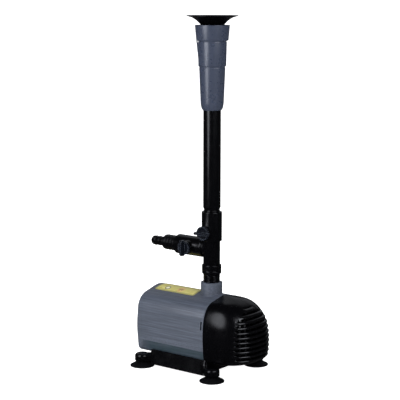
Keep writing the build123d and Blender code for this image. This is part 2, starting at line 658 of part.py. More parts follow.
BASE_BACK, BASE_FRONT = RISER_X - 81.7, RISER_X + 31.0
BASE_BOTTOM, BASE_TOP, BASE_HALF, BASE_WALL = 4.0, 26.0, 52.0, 4.0
BASE_LEAN = degrees(atan2(5.0, BASE_TOP - BASE_BOTTOM))
DECK_THICK = 2.4
BASE_MIDDLE = (BASE_BACK + BASE_FRONT) / 2
BASE_LENGTH = BASE_FRONT - BASE_BACK
ARCH_TOP = 7.4
PEG_R, PEG_TOP = 4.0, 15.0
FOOT_PLACES = [(x, y) for x in FOOT_XS.values() for y in FOOT_YS.values()]

with BuildPart() as base_bracket:
    # ears that hold the suction cups, and the arms that carry them
    with BuildSketch(Plane.XY.offset(EAR_BOTTOM)):
        with Locations(*FOOT_PLACES):
            Circle(EAR_R)
    extrude(amount=EAR_TOP - EAR_BOTTOM)
    fillet(edges().filter_by(GeomType.CIRCLE).group_by(Axis.Z)[-1], radius=4)
    with BuildSketch(Plane.XY.offset(EAR_BOTTOM)):
        for foot_x, foot_y in FOOT_PLACES:
            root_x = BASE_MIDDLE + (BASE_LENGTH / 2 - 12) * (1 if foot_x > BASE_MIDDLE else -1)
            root_y = (BASE_HALF - 12) * (1 if foot_y > 0 else -1)
            reach = sqrt((foot_x - root_x) ** 2 + (foot_y - root_y) ** 2)
            turn = degrees(atan2(foot_y - root_y, foot_x - root_x))
            with Locations(Location(((foot_x + root_x) / 2, (foot_y + root_y) / 2, 0), (0, 0, turn))):
                Rectangle(reach, 17)
    extrude(amount=EAR_TOP - 1.5 - EAR_BOTTOM)
    # frame whose walls lean in towards the top
    with BuildSketch(Plane.XY.offset(BASE_BOTTOM)):
        with Locations((BASE_MIDDLE, 0)):
            RectangleRounded(BASE_LENGTH, 2 * BASE_HALF, 8)
    extrude(amount=BASE_TOP - BASE_BOTTOM, taper=BASE_LEAN)
    # hollow underneath, below a thin deck
    with BuildSketch(Plane.XY):
        with Locations((BASE_MIDDLE, 0)):
            RectangleRounded(BASE_LENGTH - 2 * BASE_WALL - 6, 2 * (BASE_HALF - BASE_WALL - 2), 4)
    extrude(amount=FLOOR_Z - 0.1 - DECK_THICK, mode=Mode.SUBTRACT)
    # the housing rests in the bracket
    with BuildSketch(Plane.YZ.offset(BASE_BACK - 30)):
        add(pump_outline(-0.1))
    extrude(amount=BASE_LENGTH + 60, mode=Mode.SUBTRACT)
    # shallow arches under the front and rear walls, and water slots in the deck
    with Locations((BASE_MIDDLE, 0, ARCH_TOP / 2)):
        Box(BASE_LENGTH + 20, 2 * (BASE_HALF - 14), ARCH_TOP, mode=Mode.SUBTRACT)
    with BuildSketch(Plane.XY.offset(FLOOR_Z - 5)):
        with Locations((BASE_MIDDLE, 0)):
            with GridLocations(22, 36, 4, 2):
                RectangleRounded(12, 26, 3)
    extrude(amount=10, mode=Mode.SUBTRACT)
    # room for the suction cups, and holes for their pegs
    with Locations(*[(x, y, EAR_BOTTOM / 2) for x, y in FOOT_PLACES]):
        Cone(20.5, 8.0, EAR_BOTTOM, mode=Mode.SUBTRACT)
    with BuildSketch(Plane.XY):
        with Locations(*FOOT_PLACES):
            Circle(PEG_R)
    extrude(amount=PEG_TOP, mode=Mode.SUBTRACT)
base_bracket.part.label = "base_bracket"
export_step(base_bracket.part, "parts/base_bracket.step")

for end, foot_x in FOOT_XS.items():
    for side, foot_y in FOOT_YS.items():
        with BuildPart() as suction_cup:
            with BuildSketch(Plane.XZ):
                with BuildLine():
                    Polyline((CUP_R - 1.5, 0), (CUP_R, 0), (CUP_R, 1.0))
                    Spline((CUP_R, 1.0), (12.5, 4.2), (7.5, 7.2), (6.2, EAR_BOTTOM))
                    Polyline((6.2, EAR_BOTTOM), (PEG_R, EAR_BOTTOM), (PEG_R, PEG_TOP))
                    Polyline((PEG_R, PEG_TOP), (0, PEG_TOP), (0, 4.2))
                    Spline((0, 4.2), (7.0, 3.4), (CUP_R - 1.5, 0))
                make_face()
            revolve(axis=Axis.Z)
        suction_cup.part.label = f"suction_cup_{end}_{side}"
        suction_cup.part.position = (foot_x, foot_y, 0)
        export_step(suction_cup.part, f"parts/suction_cup_{end}_{side}.step")

# ---------------------------------------------------------------- outlet adapter and tee

ADAPTER_RING_R, ADAPTER_RING_BOTTOM, ADAPTER_TOP = 14.2, 142.6, 155.2
SOCKET_R = TEE_STEM_R + RUNNING_GAP
SOCKET_FLOOR = TEE_BOTTOM - 0.4
RING_SECTION = 0.9
ADAPTER_RING_Z = PORT_SHOULDER + 3.0
THREAD_PITCH, THREAD_DEPTH, THREAD_START = 1.8, 0.5, 131.0

with BuildPart() as outlet_adapter:
    with BuildSketch(Plane.XY.offset(PORT_SHOULDER)):
        with Locations((RISER_X, 0)):
            Circle(SPIGOT_R)
    extrude(amount=ADAPTER_RING_BOTTOM - PORT_SHOULDER)
    with BuildSketch(Plane.XY.offset(ADAPTER_RING_BOTTOM)):
        with Locations((RISER_X, 0)):
            Circle(ADAPTER_RING_R)
    extrude(amount=ADAPTER_TOP - ADAPTER_RING_BOTTOM)
    chamfer(edges().filter_by(GeomType.CIRCLE).group_by(SortBy.RADIUS)[-1], length=0.8)
    with BuildSketch(Plane.XY.offset(PORT_SHOULDER)):
        with Locations((RISER_X, 0)):
            Circle(WATERWAY_R)
    extrude(amount=100, mode=Mode.SUBTRACT)
    with BuildSketch(Plane.XY.offset(SOCKET_FLOOR)):
        with Locations((RISER_X, 0)):
            Circle(SOCKET_R)
    extrude(amount=20, mode=Mode.SUBTRACT)
    # grooves: one for the seal, and the screw thread's grooves above the collar
    thread_turns = int((ADAPTER_RING_BOTTOM - THREAD_START) / THREAD_PITCH)
    grooves = [(ADAPTER_RING_Z, 2 * RING_SECTION, 2 * RING_SECTION)]
    grooves += [(THREAD_START + THREAD_PITCH * n, 0.9, THREAD_DEPTH) for n in range(thread_turns)]
    for level, height, depth in grooves:
        with BuildSketch(Plane.XY.offset(level - height / 2)):
            with Locations((RISER_X, 0)):
                Circle(SPIGOT_R)
                Circle(SPIGOT_R - depth, mode=Mode.SUBTRACT)
        extrude(amount=height, mode=Mode.SUBTRACT)
outlet_adapter.part.label = "outlet_adapter"
export_step(outlet_adapter.part, "parts/outlet_adapter.step")

# ---------------------------------------------------------------- tee body

BRANCH_START_X = RISER_X - 10.5
BRANCH_NECK_R = 11.5
HOSE_SOCKET_R, HOSE_SOCKET_X = 9.9, RISER_X - 50
BOSS_R, BOSS_OUT, PLUG_END = 9.8, 18.8, 9.5
TEE_GROOVE_Z = 149.5
SEAT_R = PLUG_R + RUNNING_GAP
RISER_SOCKET_FLOOR = 214.0
VALVE_AXES = {"riser": (RISER_X, RISER_VALVE_Z), "branch": (BRANCH_VALVE_X, BRANCH_Z)}


def across(place, y):
    """The plane facing -Y at the valve axis (x, z) and depth y: its own X points along +X."""
    x, z = place
    return Plane(origin=(x, y, z), x_dir=(1, 0, 0), z_dir=(0, -1, 0))


with BuildPart() as branch_barrel:
    with BuildSketch(along_x(BRANCH_END_X, BRANCH_Z)):
        Circle(BRANCH_R)
    extrude(amount=BRANCH_START_X - BRANCH_END_X)
    fillet(edges().filter_by(GeomType.CIRCLE).group_by(Axis.X)[0], radius=2.0)
    fillet(edges().filter_by(GeomType.CIRCLE).group_by(Axis.X)[-1], radius=3.0)

with BuildPart() as diverter_body:
    with BuildSketch(Plane.XY.offset(TEE_BOTTOM)):
        with Locations((RISER_X, 0)):
            Circle(TEE_STEM_R)
    extrude(amount=TEE_TOP - TEE_BOTTOM)
    with BuildSketch(Plane.XY.offset(TEE_WAIST_Z)):
        with Locations((RISER_X, 0)):
            Circle(TEE_WIDE_R)
    extrude(amount=TEE_TOP - TEE_WAIST_Z)
    fillet(edges().filter_by(GeomType.CIRCLE).group_by(SortBy.RADIUS)[-1], radius=1.2)
    # the branch, and the shorter neck that joins it to the stem
    add(branch_barrel.part)
    with BuildSketch(along_x(BRANCH_START_X - 5, BRANCH_Z)):
        Circle(BRANCH_NECK_R)
    extrude(amount=RISER_X - BRANCH_START_X + 5)
    for place in VALVE_AXES.values():
        with BuildSketch(across(place, 0)):
            Circle(BOSS_R)
        extrude(amount=BOSS_OUT)
    # waterways, sockets and valve seats
    with BuildSketch(Plane.XY.offset(TEE_BOTTOM)):
        with Locations((RISER_X, 0)):
            Circle(WATERWAY_R)
    extrude(amount=TEE_WAIST_Z - TEE_BOTTOM, mode=Mode.SUBTRACT)
    with BuildSketch(Plane.XY.offset(TEE_WAIST_Z)):
        with Locations((RISER_X, 0)):
            Circle(PLUG_BORE_R)
    extrude(amount=TEE_TOP - TEE_WAIST_Z, mode=Mode.SUBTRACT)
    with BuildSketch(Plane.XY.offset(RISER_SOCKET_FLOOR)):
        with Locations((RISER_X, 0)):
            Circle(RISER_NECK_R)
    extrude(amount=TEE_TOP - RISER_SOCKET_FLOOR, mode=Mode.SUBTRACT)
    with BuildSketch(along_x(RISER_X, BRANCH_Z)):
        Circle(PLUG_BORE_R)
    extrude(amount=BRANCH_END_X - RISER_X, mode=Mode.SUBTRACT)
    with BuildSketch(along_x(HOSE_SOCKET_X, BRANCH_Z)):
        Circle(HOSE_SOCKET_R)
    extrude(amount=BRANCH_END_X - HOSE_SOCKET_X, mode=Mode.SUBTRACT)
    for place in VALVE_AXES.values():
        with BuildSketch(across(place, PLUG_END)):
            Circle(SEAT_R)
        extrude(amount=PLUG_END + BOSS_OUT, mode=Mode.SUBTRACT)
    # groove for the swivel's seal
    with BuildSketch(Plane.XY.offset(TEE_GROOVE_Z - RING_SECTION)):
        with Locations((RISER_X, 0)):
            Circle(TEE_STEM_R)
            Circle(TEE_STEM_R - 2 * RING_SECTION, mode=Mode.SUBTRACT)
    extrude(amount=2 * RING_SECTION, mode=Mode.SUBTRACT)
diverter_body.part.label = "diverter_body"
export_step(diverter_body.part, "parts/diverter_body.step")

for name, level, outside in (
    ("adapter_o_ring", ADAPTER_RING_Z, SPIGOT_R),
    ("tee_o_ring", TEE_GROOVE_Z, TEE_STEM_R),
):
    with BuildPart(Plane((RISER_X, 0, level))) as o_ring:
        add(ring(outside - RING_SECTION, RING_SECTION))
    o_ring.part.label = name
    export_step(o_ring.part, f"parts/{name}.step")

# ---------------------------------------------------------------- valves

KNOB_R, KNOB_BACK, KNOB_THICK, KNOB_RIM = 10.0, 19.6, 2.6, 1.4
SOCKET_DEPTH, VALVE_STEM_R = 2.0, 4.0
BAR_LENGTH, BAR_THICK, BAR_OUT = 23.0, 3.0, 31.0
PLUG_RING_DEPTH = 12.5

for name, place in VALVE_AXES.items():
    upright = name == "branch"
    with BuildPart() as valve_plug:
        with BuildSketch(across(place, PLUG_END - 0.3)):
            Circle(PLUG_R)
        extrude(amount=PLUG_END - 0.3 + BOSS_OUT - 0.4)
        with BuildSketch(across(place, 0)):
            Circle(VALVE_STEM_R)
        extrude(amount=KNOB_BACK + SOCKET_DEPTH)
        with BuildSketch(across(place, -PLUG_RING_DEPTH + RING_SECTION)):
            Circle(PLUG_R)
            Circle(PLUG_R - 2 * RING_SECTION, mode=Mode.SUBTRACT)
        extrude(amount=2 * RING_SECTION, mode=Mode.SUBTRACT)
        # the waterway lies across the pipe while the valve is shut
        crossing = Plane.XY if upright else Plane.YZ
        with BuildSketch(Plane(origin=(place[0], 0, place[1]), z_dir=crossing.z_dir)):
            Circle(PLUG_BORE_R)
        extrude(amount=PLUG_R + 1, both=True, mode=Mode.SUBTRACT)
    valve_plug.part.label = f"{name}_valve_plug"
    export_step(valve_plug.part, f"parts/{name}_valve_plug.step")

    with BuildPart(across(place, -PLUG_RING_DEPTH)) as valve_o_ring:
        add(ring(PLUG_R - RING_SECTION, RING_SECTION))
    valve_o_ring.part.label = f"{name}_valve_o_ring"
    export_step(valve_o_ring.part, f"parts/{name}_valve_o_ring.step")

    with BuildPart() as valve_knob:
        with BuildSketch(across(place, -KNOB_BACK)):
            Circle(KNOB_R)
        extrude(amount=KNOB_THICK)
        with BuildSketch(across(place, -KNOB_BACK - KNOB_THICK)):
            Circle(KNOB_R)
            Circle(KNOB_R - 1.5, mode=Mode.SUBTRACT)
        extrude(amount=KNOB_RIM)
        # thumb bar, in line with the disc's middle
        with BuildSketch(across(place, -KNOB_BACK - KNOB_THICK)):
            if upright:
                Rectangle(BAR_THICK, BAR_LENGTH)
            else:
                Rectangle(BAR_LENGTH, BAR_THICK)
        extrude(amount=BAR_OUT - KNOB_BACK - KNOB_THICK)
        long_way = Axis.X if upright else Axis.Z
        corners = edges().filter_by(long_way).group_by(Axis.Y)[0]
        fillet(corners, radius=4.0)
        with BuildSketch(across(place, -KNOB_BACK)):
            Circle(VALVE_STEM_R)
        extrude(amount=SOCKET_DEPTH, mode=Mode.SUBTRACT)
    valve_knob.part.label = f"{name}_valve_knob"
    export_step(valve_knob.part, f"parts/{name}_valve_knob.step")

# ---------------------------------------------------------------- hose tail

LARGE_END_X, SMALL_END_X = RISER_X - 86.5, RISER_X - 110.5
HOSE_BORE_R = 4.5
LARGE_ROOT_R, LARGE_BARB_R, LARGE_BARBS = 10.5, 11.4, 4
SMALL_ROOT_R, SMALL_BARB_R, SMALL_BARBS = 6.2, 7.2, 3


def barbs(start, end, root, crest, count):
    """Outline points of sloping hose barbs, from the tip end at start towards the body."""
    pitch = (end - start) / count
    points = []
    for number in range(count):
        tip = start + pitch * number
        points += [(tip, root), (tip + pitch * 0.65, crest), (tip + pitch * 0.8, crest)]
        points += [(tip + pitch * 0.8, root)]
    return points


with BuildPart(Plane((0, 0, BRANCH_Z))) as hose_tail:
    outline = [(SMALL_END_X, HOSE_BORE_R)]
    outline += barbs(SMALL_END_X, LARGE_END_X, SMALL_ROOT_R, SMALL_BARB_R, SMALL_BARBS)
    outline += [(LARGE_END_X, SMALL_ROOT_R)]
    outline += barbs(LARGE_END_X, BRANCH_END_X - 1, LARGE_ROOT_R, LARGE_BARB_R, LARGE_BARBS)
    outline += [
        (BRANCH_END_X - 1, LARGE_ROOT_R),
        (BRANCH_END_X - 1, BRANCH_R - 2),
        (BRANCH_END_X, BRANCH_R - 2),
        (BRANCH_END_X, HOSE_SOCKET_R),
        (HOSE_SOCKET_X - 0.2, HOSE_SOCKET_R),
        (HOSE_SOCKET_X - 0.2, HOSE_BORE_R),
    ]
    add(turned(outline, Axis.X))
    with Locations(Location((HOSE_SOCKET_X - 6, 0, 0), (0, 90, 0))):
        Cylinder(HOSE_SOCKET_R, 2 * RING_SECTION, mode=Mode.SUBTRACT)
        Cylinder(HOSE_SOCKET_R - 2 * RING_SECTION, 2 * RING_SECTION)
        Cylinder(HOSE_BORE_R, 2 * RING_SECTION, mode=Mode.SUBTRACT)
hose_tail.part.label = "hose_tail"
export_step(hose_tail.part, "parts/hose_tail.step")

with BuildPart(along_x(HOSE_SOCKET_X - 6, BRANCH_Z)) as hose_tail_o_ring:
    add(ring(HOSE_SOCKET_R - RING_SECTION, RING_SECTION))
hose_tail_o_ring.part.label = "hose_tail_o_ring"
export_step(hose_tail_o_ring.part, "parts/hose_tail_o_ring.step")

# ---------------------------------------------------------------- riser and nozzle

NOZZLE_SOCKET_TOP = 398.0
RISER_PLANE = Plane((RISER_X, 0, 0))

with BuildPart(RISER_PLANE) as riser_tube:
    add(
        turned(
            [
                (RISER_BORE_R - 1, RISER_SOCKET_FLOOR),
                (RISER_NECK_R, RISER_SOCKET_FLOOR),
                (RISER_NECK_R, RISER_SHOULDER - 0.7),
                (RISER_R, RISER_SHOULDER),
                (RISER_R, NOZZLE_SOCKET_TOP),
                (RISER_BORE_R, NOZZLE_SOCKET_TOP),
                (RISER_BORE_R, RISER_SHOULDER + 1),
                (RISER_BORE_R - 1, RISER_SHOULDER - 1),
            ]
        )
    )
riser_tube.part.label = "riser_tube"
export_step(riser_tube.part, "parts/riser_tube.step")

# Outside of the nozzle body, from its rounded lower end up to its rim: radius and height
NOZZLE_WALL = 2.2
NOZZLE_SKIN = (
    (15.0, NOZZLE_BOTTOM + 2.5),
    (16.5, 389.0),
    (18.7, 441.0),
    (19.8, 444.0),
    (20.6, 477.0),
    (23.0, 479.5),
    (24.9, NOZZLE_RIM),
)
RIB_TURN = 217.4                  # degrees round the riser axis from +X
RIB_THICK = 2.4

with BuildPart(RISER_PLANE) as nozzle_body:
    add(
        turned(
            [
                (RISER_R, NOZZLE_BOTTOM),
                (13.4, NOZZLE_BOTTOM),
                *NOZZLE_SKIN,
                (24.9 - NOZZLE_WALL, NOZZLE_RIM),
                (20.6 - NOZZLE_WALL, 477.0),
                (16.0, 441.0),
                (13.9, NOZZLE_SOCKET_TOP + 1.5),
                (RISER_BORE_R, NOZZLE_SOCKET_TOP + 0.1),
                (RISER_R, NOZZLE_SOCKET_TOP),
            ]
        )
    )
    # one straight rib fills the steps down the side
    with BuildSketch(Plane(origin=(0, 0, 0), x_dir=(1, 0, 0), z_dir=(0, -1, 0))):
        with BuildLine():
            Polyline((17.2, 441.0), (18.9, 441.0), (23.1, 481.0), (21.5, 481.0), close=True)
        make_face()
    ribs = extrude(amount=RIB_THICK / 2, both=True, mode=Mode.PRIVATE)
    add(ribs.rotate(Axis.Z, RIB_TURN))
nozzle_body.part.label = "nozzle_body"
export_step(nozzle_body.part, "parts/nozzle_body.step")

CARRIER_TOP, CARRIER_HEIGHT = 441.0, 12.0
CARRIER_TOP_R, CARRIER_LEAN = 15.95, 0.6
CARRIER_BOTTOM = CARRIER_TOP - CARRIER_HEIGHT

with BuildPart(RISER_PLANE) as stem_carrier:
    # a tapered ring with three spokes and a hub that holds the trumpet's stem
    add(
        turned(
            [
                (CARRIER_TOP_R - CARRIER_LEAN, CARRIER_BOTTOM),
                (CARRIER_TOP_R, CARRIER_TOP),
                (CARRIER_TOP_R - 1.8, CARRIER_TOP),
                (CARRIER_TOP_R - CARRIER_LEAN - 1.8, CARRIER_BOTTOM),
            ]
        )
    )
    with BuildSketch(RISER_PLANE.offset(CARRIER_BOTTOM)):
        with PolarLocations(9.2, 3):
            Rectangle(10.8, 2.2)
        Circle(5.5)
        Circle(STEM_R + RUNNING_GAP, mode=Mode.SUBTRACT)
    extrude(amount=CARRIER_HEIGHT)
stem_carrier.part.label = "stem_carrier"
export_step(stem_carrier.part, "parts/stem_carrier.step")

STEM_BOTTOM, FLARE_FLOOR, FLARE_NECK_BOTTOM = 424.0, 503.5, 497.0

with BuildPart(RISER_PLANE) as trumpet_stem:
    with BuildSketch(RISER_PLANE.offset(STEM_BOTTOM)):
        Circle(STEM_R)
    extrude(amount=FLARE_NECK_BOTTOM + 4 - STEM_BOTTOM)
    chamfer(faces().sort_by(Axis.Z)[0].edges(), length=0.8)
trumpet_stem.part.label = "trumpet_stem"
export_step(trumpet_stem.part, "parts/trumpet_stem.step")

with BuildPart() as trumpet_flare:
    with BuildSketch(Plane.XZ):
        with BuildLine():
            Polyline((0, FLARE_NECK_BOTTOM), (16.2, FLARE_NECK_BOTTOM), (17.4, 502.0))
            Spline((17.4, 502.0), (22.4, 507.8), (30.5, 511.9), (FLARE_R, FLARE_TOP - 0.8))
            Polyline((FLARE_R, FLARE_TOP - 0.8), (FLARE_R, FLARE_TOP))
            Spline((FLARE_R, FLARE_TOP), (29.5, 513.3), (21.5, 509.7), (15.5, FLARE_FLOOR))
            Polyline((15.5, FLARE_FLOOR), (0, FLARE_FLOOR), (0, FLARE_NECK_BOTTOM))
        make_face()
    revolve(axis=Axis.Z)
    with Locations((0, 0, FLARE_NECK_BOTTOM + 2)):
        Cylinder(STEM_R, 4, mode=Mode.SUBTRACT)
trumpet_flare.part.label = "trumpet_flare"
trumpet_flare.part.position = (RISER_X, 0, 0)
export_step(trumpet_flare.part, "parts/trumpet_flare.step")
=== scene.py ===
import json
import math

import bmesh
import bpy
import numpy as np
from mathutils import Matrix, Vector


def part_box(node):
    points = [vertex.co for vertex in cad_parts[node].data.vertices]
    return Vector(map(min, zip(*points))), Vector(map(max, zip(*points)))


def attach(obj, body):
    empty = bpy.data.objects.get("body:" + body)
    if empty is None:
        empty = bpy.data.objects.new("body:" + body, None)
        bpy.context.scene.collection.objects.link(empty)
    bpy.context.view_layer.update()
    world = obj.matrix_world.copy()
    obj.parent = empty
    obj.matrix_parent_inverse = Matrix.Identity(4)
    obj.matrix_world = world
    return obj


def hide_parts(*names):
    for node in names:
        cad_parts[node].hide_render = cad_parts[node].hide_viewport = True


# Looks of the fountain submersible pump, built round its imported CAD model.
# Places come from the frame's boxes, in millimetres here and in metres in Blender.

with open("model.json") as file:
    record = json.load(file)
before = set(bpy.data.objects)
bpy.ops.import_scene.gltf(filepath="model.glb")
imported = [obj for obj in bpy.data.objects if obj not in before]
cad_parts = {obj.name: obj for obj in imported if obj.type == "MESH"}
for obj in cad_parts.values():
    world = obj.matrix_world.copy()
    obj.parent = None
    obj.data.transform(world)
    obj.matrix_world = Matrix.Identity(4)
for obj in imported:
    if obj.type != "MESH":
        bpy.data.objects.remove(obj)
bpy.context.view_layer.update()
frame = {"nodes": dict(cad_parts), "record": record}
MM = 0.001


def low(node):
    """The lowest corner of a CAD node, in millimetres."""
    return np.array(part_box(node)[0]) / MM


def high(node):
    """The highest corner of a CAD node, in millimetres."""
    return np.array(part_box(node)[1]) / MM


def middle(node):
    """The middle of a CAD node's box, in millimetres."""
    return (low(node) + high(node)) / 2


RISER_X = middle("riser_tube")[0]
SEAM_X = high("motor_housing")[0]

# ---------------------------------------------------------------- camera

CAMERA_TURN = math.radians(37.376)       # round the riser, from looking along +Y
CAMERA_REACH = 1821.9                    # from the riser's axis
CAMERA_HEIGHT = 539.2
CAMERA_PITCH = math.radians(9.02)        # looking down
CAMERA_YAW = math.radians(-0.539)
CAMERA_ROLL = math.radians(0.1)
LENS, SENSOR = 114.91, 36.0


def make_camera():
    """A long-lens camera to the right of the pump's side, level with the top of the nozzle."""
    turn = CAMERA_TURN - CAMERA_YAW
    level = Vector((-math.sin(turn), math.cos(turn), 0))
    forward = level * math.cos(CAMERA_PITCH) - Vector((0, 0, math.sin(CAMERA_PITCH)))
    data = bpy.data.cameras.new("camera")
    data.lens = LENS
    data.sensor_width = SENSOR
    data.clip_end = 100
    camera = bpy.data.objects.new("camera", data)
    bpy.context.collection.objects.link(camera)
    camera.location = (
        (RISER_X + CAMERA_REACH * math.sin(CAMERA_TURN)) * MM,
        -CAMERA_REACH * math.cos(CAMERA_TURN) * MM,
        CAMERA_HEIGHT * MM,
    )
    camera.rotation_mode = "QUATERNION"
    roll = Matrix.Rotation(-CAMERA_ROLL, 3, forward).to_quaternion()
    camera.rotation_quaternion = roll @ forward.to_track_quat("-Z", "Y")
    bpy.context.scene.camera = camera
    bpy.context.scene.view_settings.view_transform = "Standard"


# ---------------------------------------------------------------- materials


class Shader:
    """A material's node tree, with short calls to add and join its nodes."""

    def __init__(self, name):
        self.material = bpy.data.materials.new(name)
        self.material.use_nodes = True
        self.tree = self.material.node_tree
        self.tree.nodes.clear()
        self.output = self.add("ShaderNodeOutputMaterial")
        self.surface = self.add("ShaderNodeBsdfPrincipled")
        self.join(self.surface.outputs["BSDF"], self.output.inputs["Surface"])
        self.place = self.add("ShaderNodeTexCoord").outputs["Object"]

    def add(self, kind, **settings):
        node = self.tree.nodes.new(kind)
        for key, value in settings.items():
            setattr(node, key, value)
        return node

    def join(self, source, target):
        self.tree.links.new(source, target)

    def fill(self, socket, value):
        """Sets a socket to a number or colour, or joins another node's output to it."""
        if isinstance(value, bpy.types.NodeSocket):
            self.join(value, socket)
        else:
            socket.default_value = value

    def stretched(self, scale):
        """Object coordinates scaled by (x, y, z)."""
        node = self.add("ShaderNodeMapping")
        self.join(self.place, node.inputs["Vector"])
        node.inputs["Scale"].default_value = scale
        return node.outputs["Vector"]

    def noise(self, size, detail=3.0, rough=0.5, stretch=(1, 1, 1)):
        """Noise whose features are about size millimetres across."""
        node = self.add("ShaderNodeTexNoise")
        self.join(self.stretched(stretch), node.inputs["Vector"])
        node.inputs["Scale"].default_value = 1 / (size * MM)
        node.inputs["Detail"].default_value = detail
        node.inputs["Roughness"].default_value = rough
        return node.outputs["Fac"]

    def remap(self, value, from_low, from_high, to_low, to_high):
        node = self.add("ShaderNodeMapRange")
        self.join(value, node.inputs["Value"])
        for key, number in (
            ("From Min", from_low),
            ("From Max", from_high),
            ("To Min", to_low),
            ("To Max", to_high),
        ):
            node.inputs[key].default_value = number
        return node.outputs["Result"]

    def math(self, operation, a, b=0.0):
        node = self.add("ShaderNodeMath", operation=operation)
        self.fill(node.inputs[0], a)
        self.fill(node.inputs[1], b)
        return node.outputs[0]

    def mix(self, factor, a, b):
        node = self.add("ShaderNodeMix", data_type="RGBA")
        self.fill(node.inputs["Factor"], factor)
        for key, value in ((6, a), (7, b)):
            value = (*value, 1) if isinstance(value, tuple) and len(value) == 3 else value
            self.fill(node.inputs[key], value)
        return node.outputs[2]

    def bump(self, height, distance, under=None):
        """Bumps of the given height in millimetres, on top of another bump if given."""
        node = self.add("ShaderNodeBump")
        node.inputs["Strength"].default_value = 1.0
        node.inputs["Distance"].default_value = distance * MM
        self.join(height, node.inputs["Height"])
        if under is not None:
            self.join(under, node.inputs["Normal"])
        return node.outputs["Normal"]

    def set(self, **values):
        """Sets the surface's inputs; an underscore in a name stands for a space."""
        for key, value in values.items():
            self.fill(self.surface.inputs[key.replace("_", " ")], value)

    def rims(self, radius, start=0.03, end=0.3):
        """Goes from 0 to 1 within radius millimetres of an edge, however coarse the mesh."""
        rounded = self.add("ShaderNodeBevel", samples=6)
        rounded.inputs["Radius"].default_value = radius * MM
        plain = self.add("ShaderNodeNewGeometry")
        turn = self.add("ShaderNodeVectorMath", operation="DOT_PRODUCT")
        self.join(rounded.outputs["Normal"], turn.inputs[0])
        self.join(plain.outputs["Normal"], turn.inputs[1])
        return self.remap(turn.outputs["Value"], 1 - start, 1 - end, 0.0, 1.0)

    def edges(self, start=0.52, end=0.62):
        """Goes from 0 to 1 along raised edges."""
        node = self.add("ShaderNodeNewGeometry")
        return self.remap(node.outputs["Pointiness"], start, end, 0.0, 1.0)


def shade(color, factor):
    return tuple(min(1.0, c * factor) for c in color)


def plastic(
    name, color, rough, grain=0.35, depth=0.012, mottle=0.06, wear=0.25, specular=0.5, streak=0.0,
    low_band=None, rim=None, wave=0.03,
):
    """Moulded plastic: slow tone changes, a fine spark-eroded grain, and paler worn edges.
    low_band is the height in millimetres below which painted shade darkens and greens it, and where
    along X that painted shade starts and is full; rim is a (width, tone) for painted highlight lines
    along edges, and wave the depth in millimetres of the slow unevenness of the moulding."""
    s = Shader(name)
    slow = s.noise(38, 4, 0.6)
    tone = s.mix(s.remap(slow, 0.3, 0.7, 0, 1), shade(color, 1 - mottle), shade(color, 1 + mottle))
    if streak:
        flow = s.noise(1.9, 3, 0.6, stretch=(0.03, 1, 1))
        tone = s.mix(s.remap(flow, 0.42, 0.68, 0, streak), tone, shade(color, 0.45))
        tone = s.mix(s.remap(flow, 0.45, 0.30, 0, streak * 0.6), tone, shade(color, 1.6))
    # Painted shade: below the crease the colour turns darker and greener, mottled by noise, in place of
    # the shade on the lower wall that slopes in under the crease
    if low_band:
        split = s.add("ShaderNodeSeparateXYZ")
        s.join(s.place, split.inputs[0])
        top, back, front = low_band
        below = s.remap(split.outputs["Z"], (top + 0.6) * MM, (top - 0.8) * MM, 0, 1)
        below = s.math("MULTIPLY", below, s.remap(split.outputs["X"], back * MM, front * MM, 0, 1))
        painted_shade_mottle = s.remap(s.noise(3.2, 4, 0.6, stretch=(0.12, 1, 1)), 0.3, 0.7, 0.35, 1.0)
        painted_shade_tone = tuple(c * f for c, f in zip(color, (0.22, 0.42, 0.40)))
        tone = s.mix(s.math("MULTIPLY", below, painted_shade_mottle), tone, painted_shade_tone)
    worn = s.math("MULTIPLY", s.edges(), s.remap(s.noise(2.2, 5, 0.7), 0.4, 0.65, 0, wear))
    tone = s.mix(worn, tone, shade(tuple(c + 0.02 for c in color), 1.7))
    # Painted highlight: pale lines along edges within rim[0] millimetres, in place of the highlights on
    # the rims
    if rim:
        tone = s.mix(s.math("MULTIPLY", s.rims(rim[0]), s.remap(slow, 0.3, 0.6, 0.6, 1)), tone, rim[1])
    dust = s.remap(s.noise(9, 6, 0.7), 0.35, 0.75, -0.05, 0.07)
    s.set(
        Base_Color=tone,
        Roughness=s.math("ADD", dust, rough),
        Specular_IOR_Level=specular,
        Normal=s.bump(s.noise(grain, 2, 0.6), depth, s.bump(s.noise(14, 2), wave)),
    )
    return s.material


def rubber(name, color):
    s = Shader(name)
    bloom = s.remap(s.noise(6, 6, 0.7), 0.35, 0.7, 0, 0.6)
    s.set(
        Base_Color=s.mix(bloom, color, shade(color, 1.9)),
        Roughness=s.remap(s.noise(1.5, 4), 0.3, 0.7, 0.42, 0.62),
        Specular_IOR_Level=0.12,
        Normal=s.bump(s.noise(0.5, 3), 0.02),
    )
    return s.material


def metal(name, color, rough, stretch=(1, 1, 1), grain=1.2):
    s = Shader(name)
    lines = s.noise(grain, 4, 0.6, stretch=stretch)
    s.set(
        Base_Color=s.mix(s.remap(lines, 0.3, 0.7, 0, 1), shade(color, 0.82), shade(color, 1.08)),
        Metallic=1.0,
        Roughness=s.remap(lines, 0.3, 0.7, rough - 0.06, rough + 0.1),
        Normal=s.bump(lines, 0.01),
    )
    return s.material


def laminations(name, color, pitch):
    """Stacked steel sheets across the pump axis."""
    s = Shader(name)
    split = s.add("ShaderNodeSeparateXYZ")
    s.join(s.place, split.inputs[0])
    sheets = s.math("FRACT", s.math("MULTIPLY", split.outputs["X"], 1 / (pitch * MM)))
    gap = s.remap(s.math("ABSOLUTE", s.math("SUBTRACT", sheets, 0.5)), 0.36, 0.48, 0, 1)
    s.set(
        Base_Color=s.mix(gap, color, shade(color, 0.3)),
        Metallic=0.9,
        Roughness=s.remap(s.noise(3, 4), 0.3, 0.7, 0.35, 0.55),
        Normal=s.bump(s.math("SUBTRACT", 1.0, gap), 0.05),
    )
    return s.material


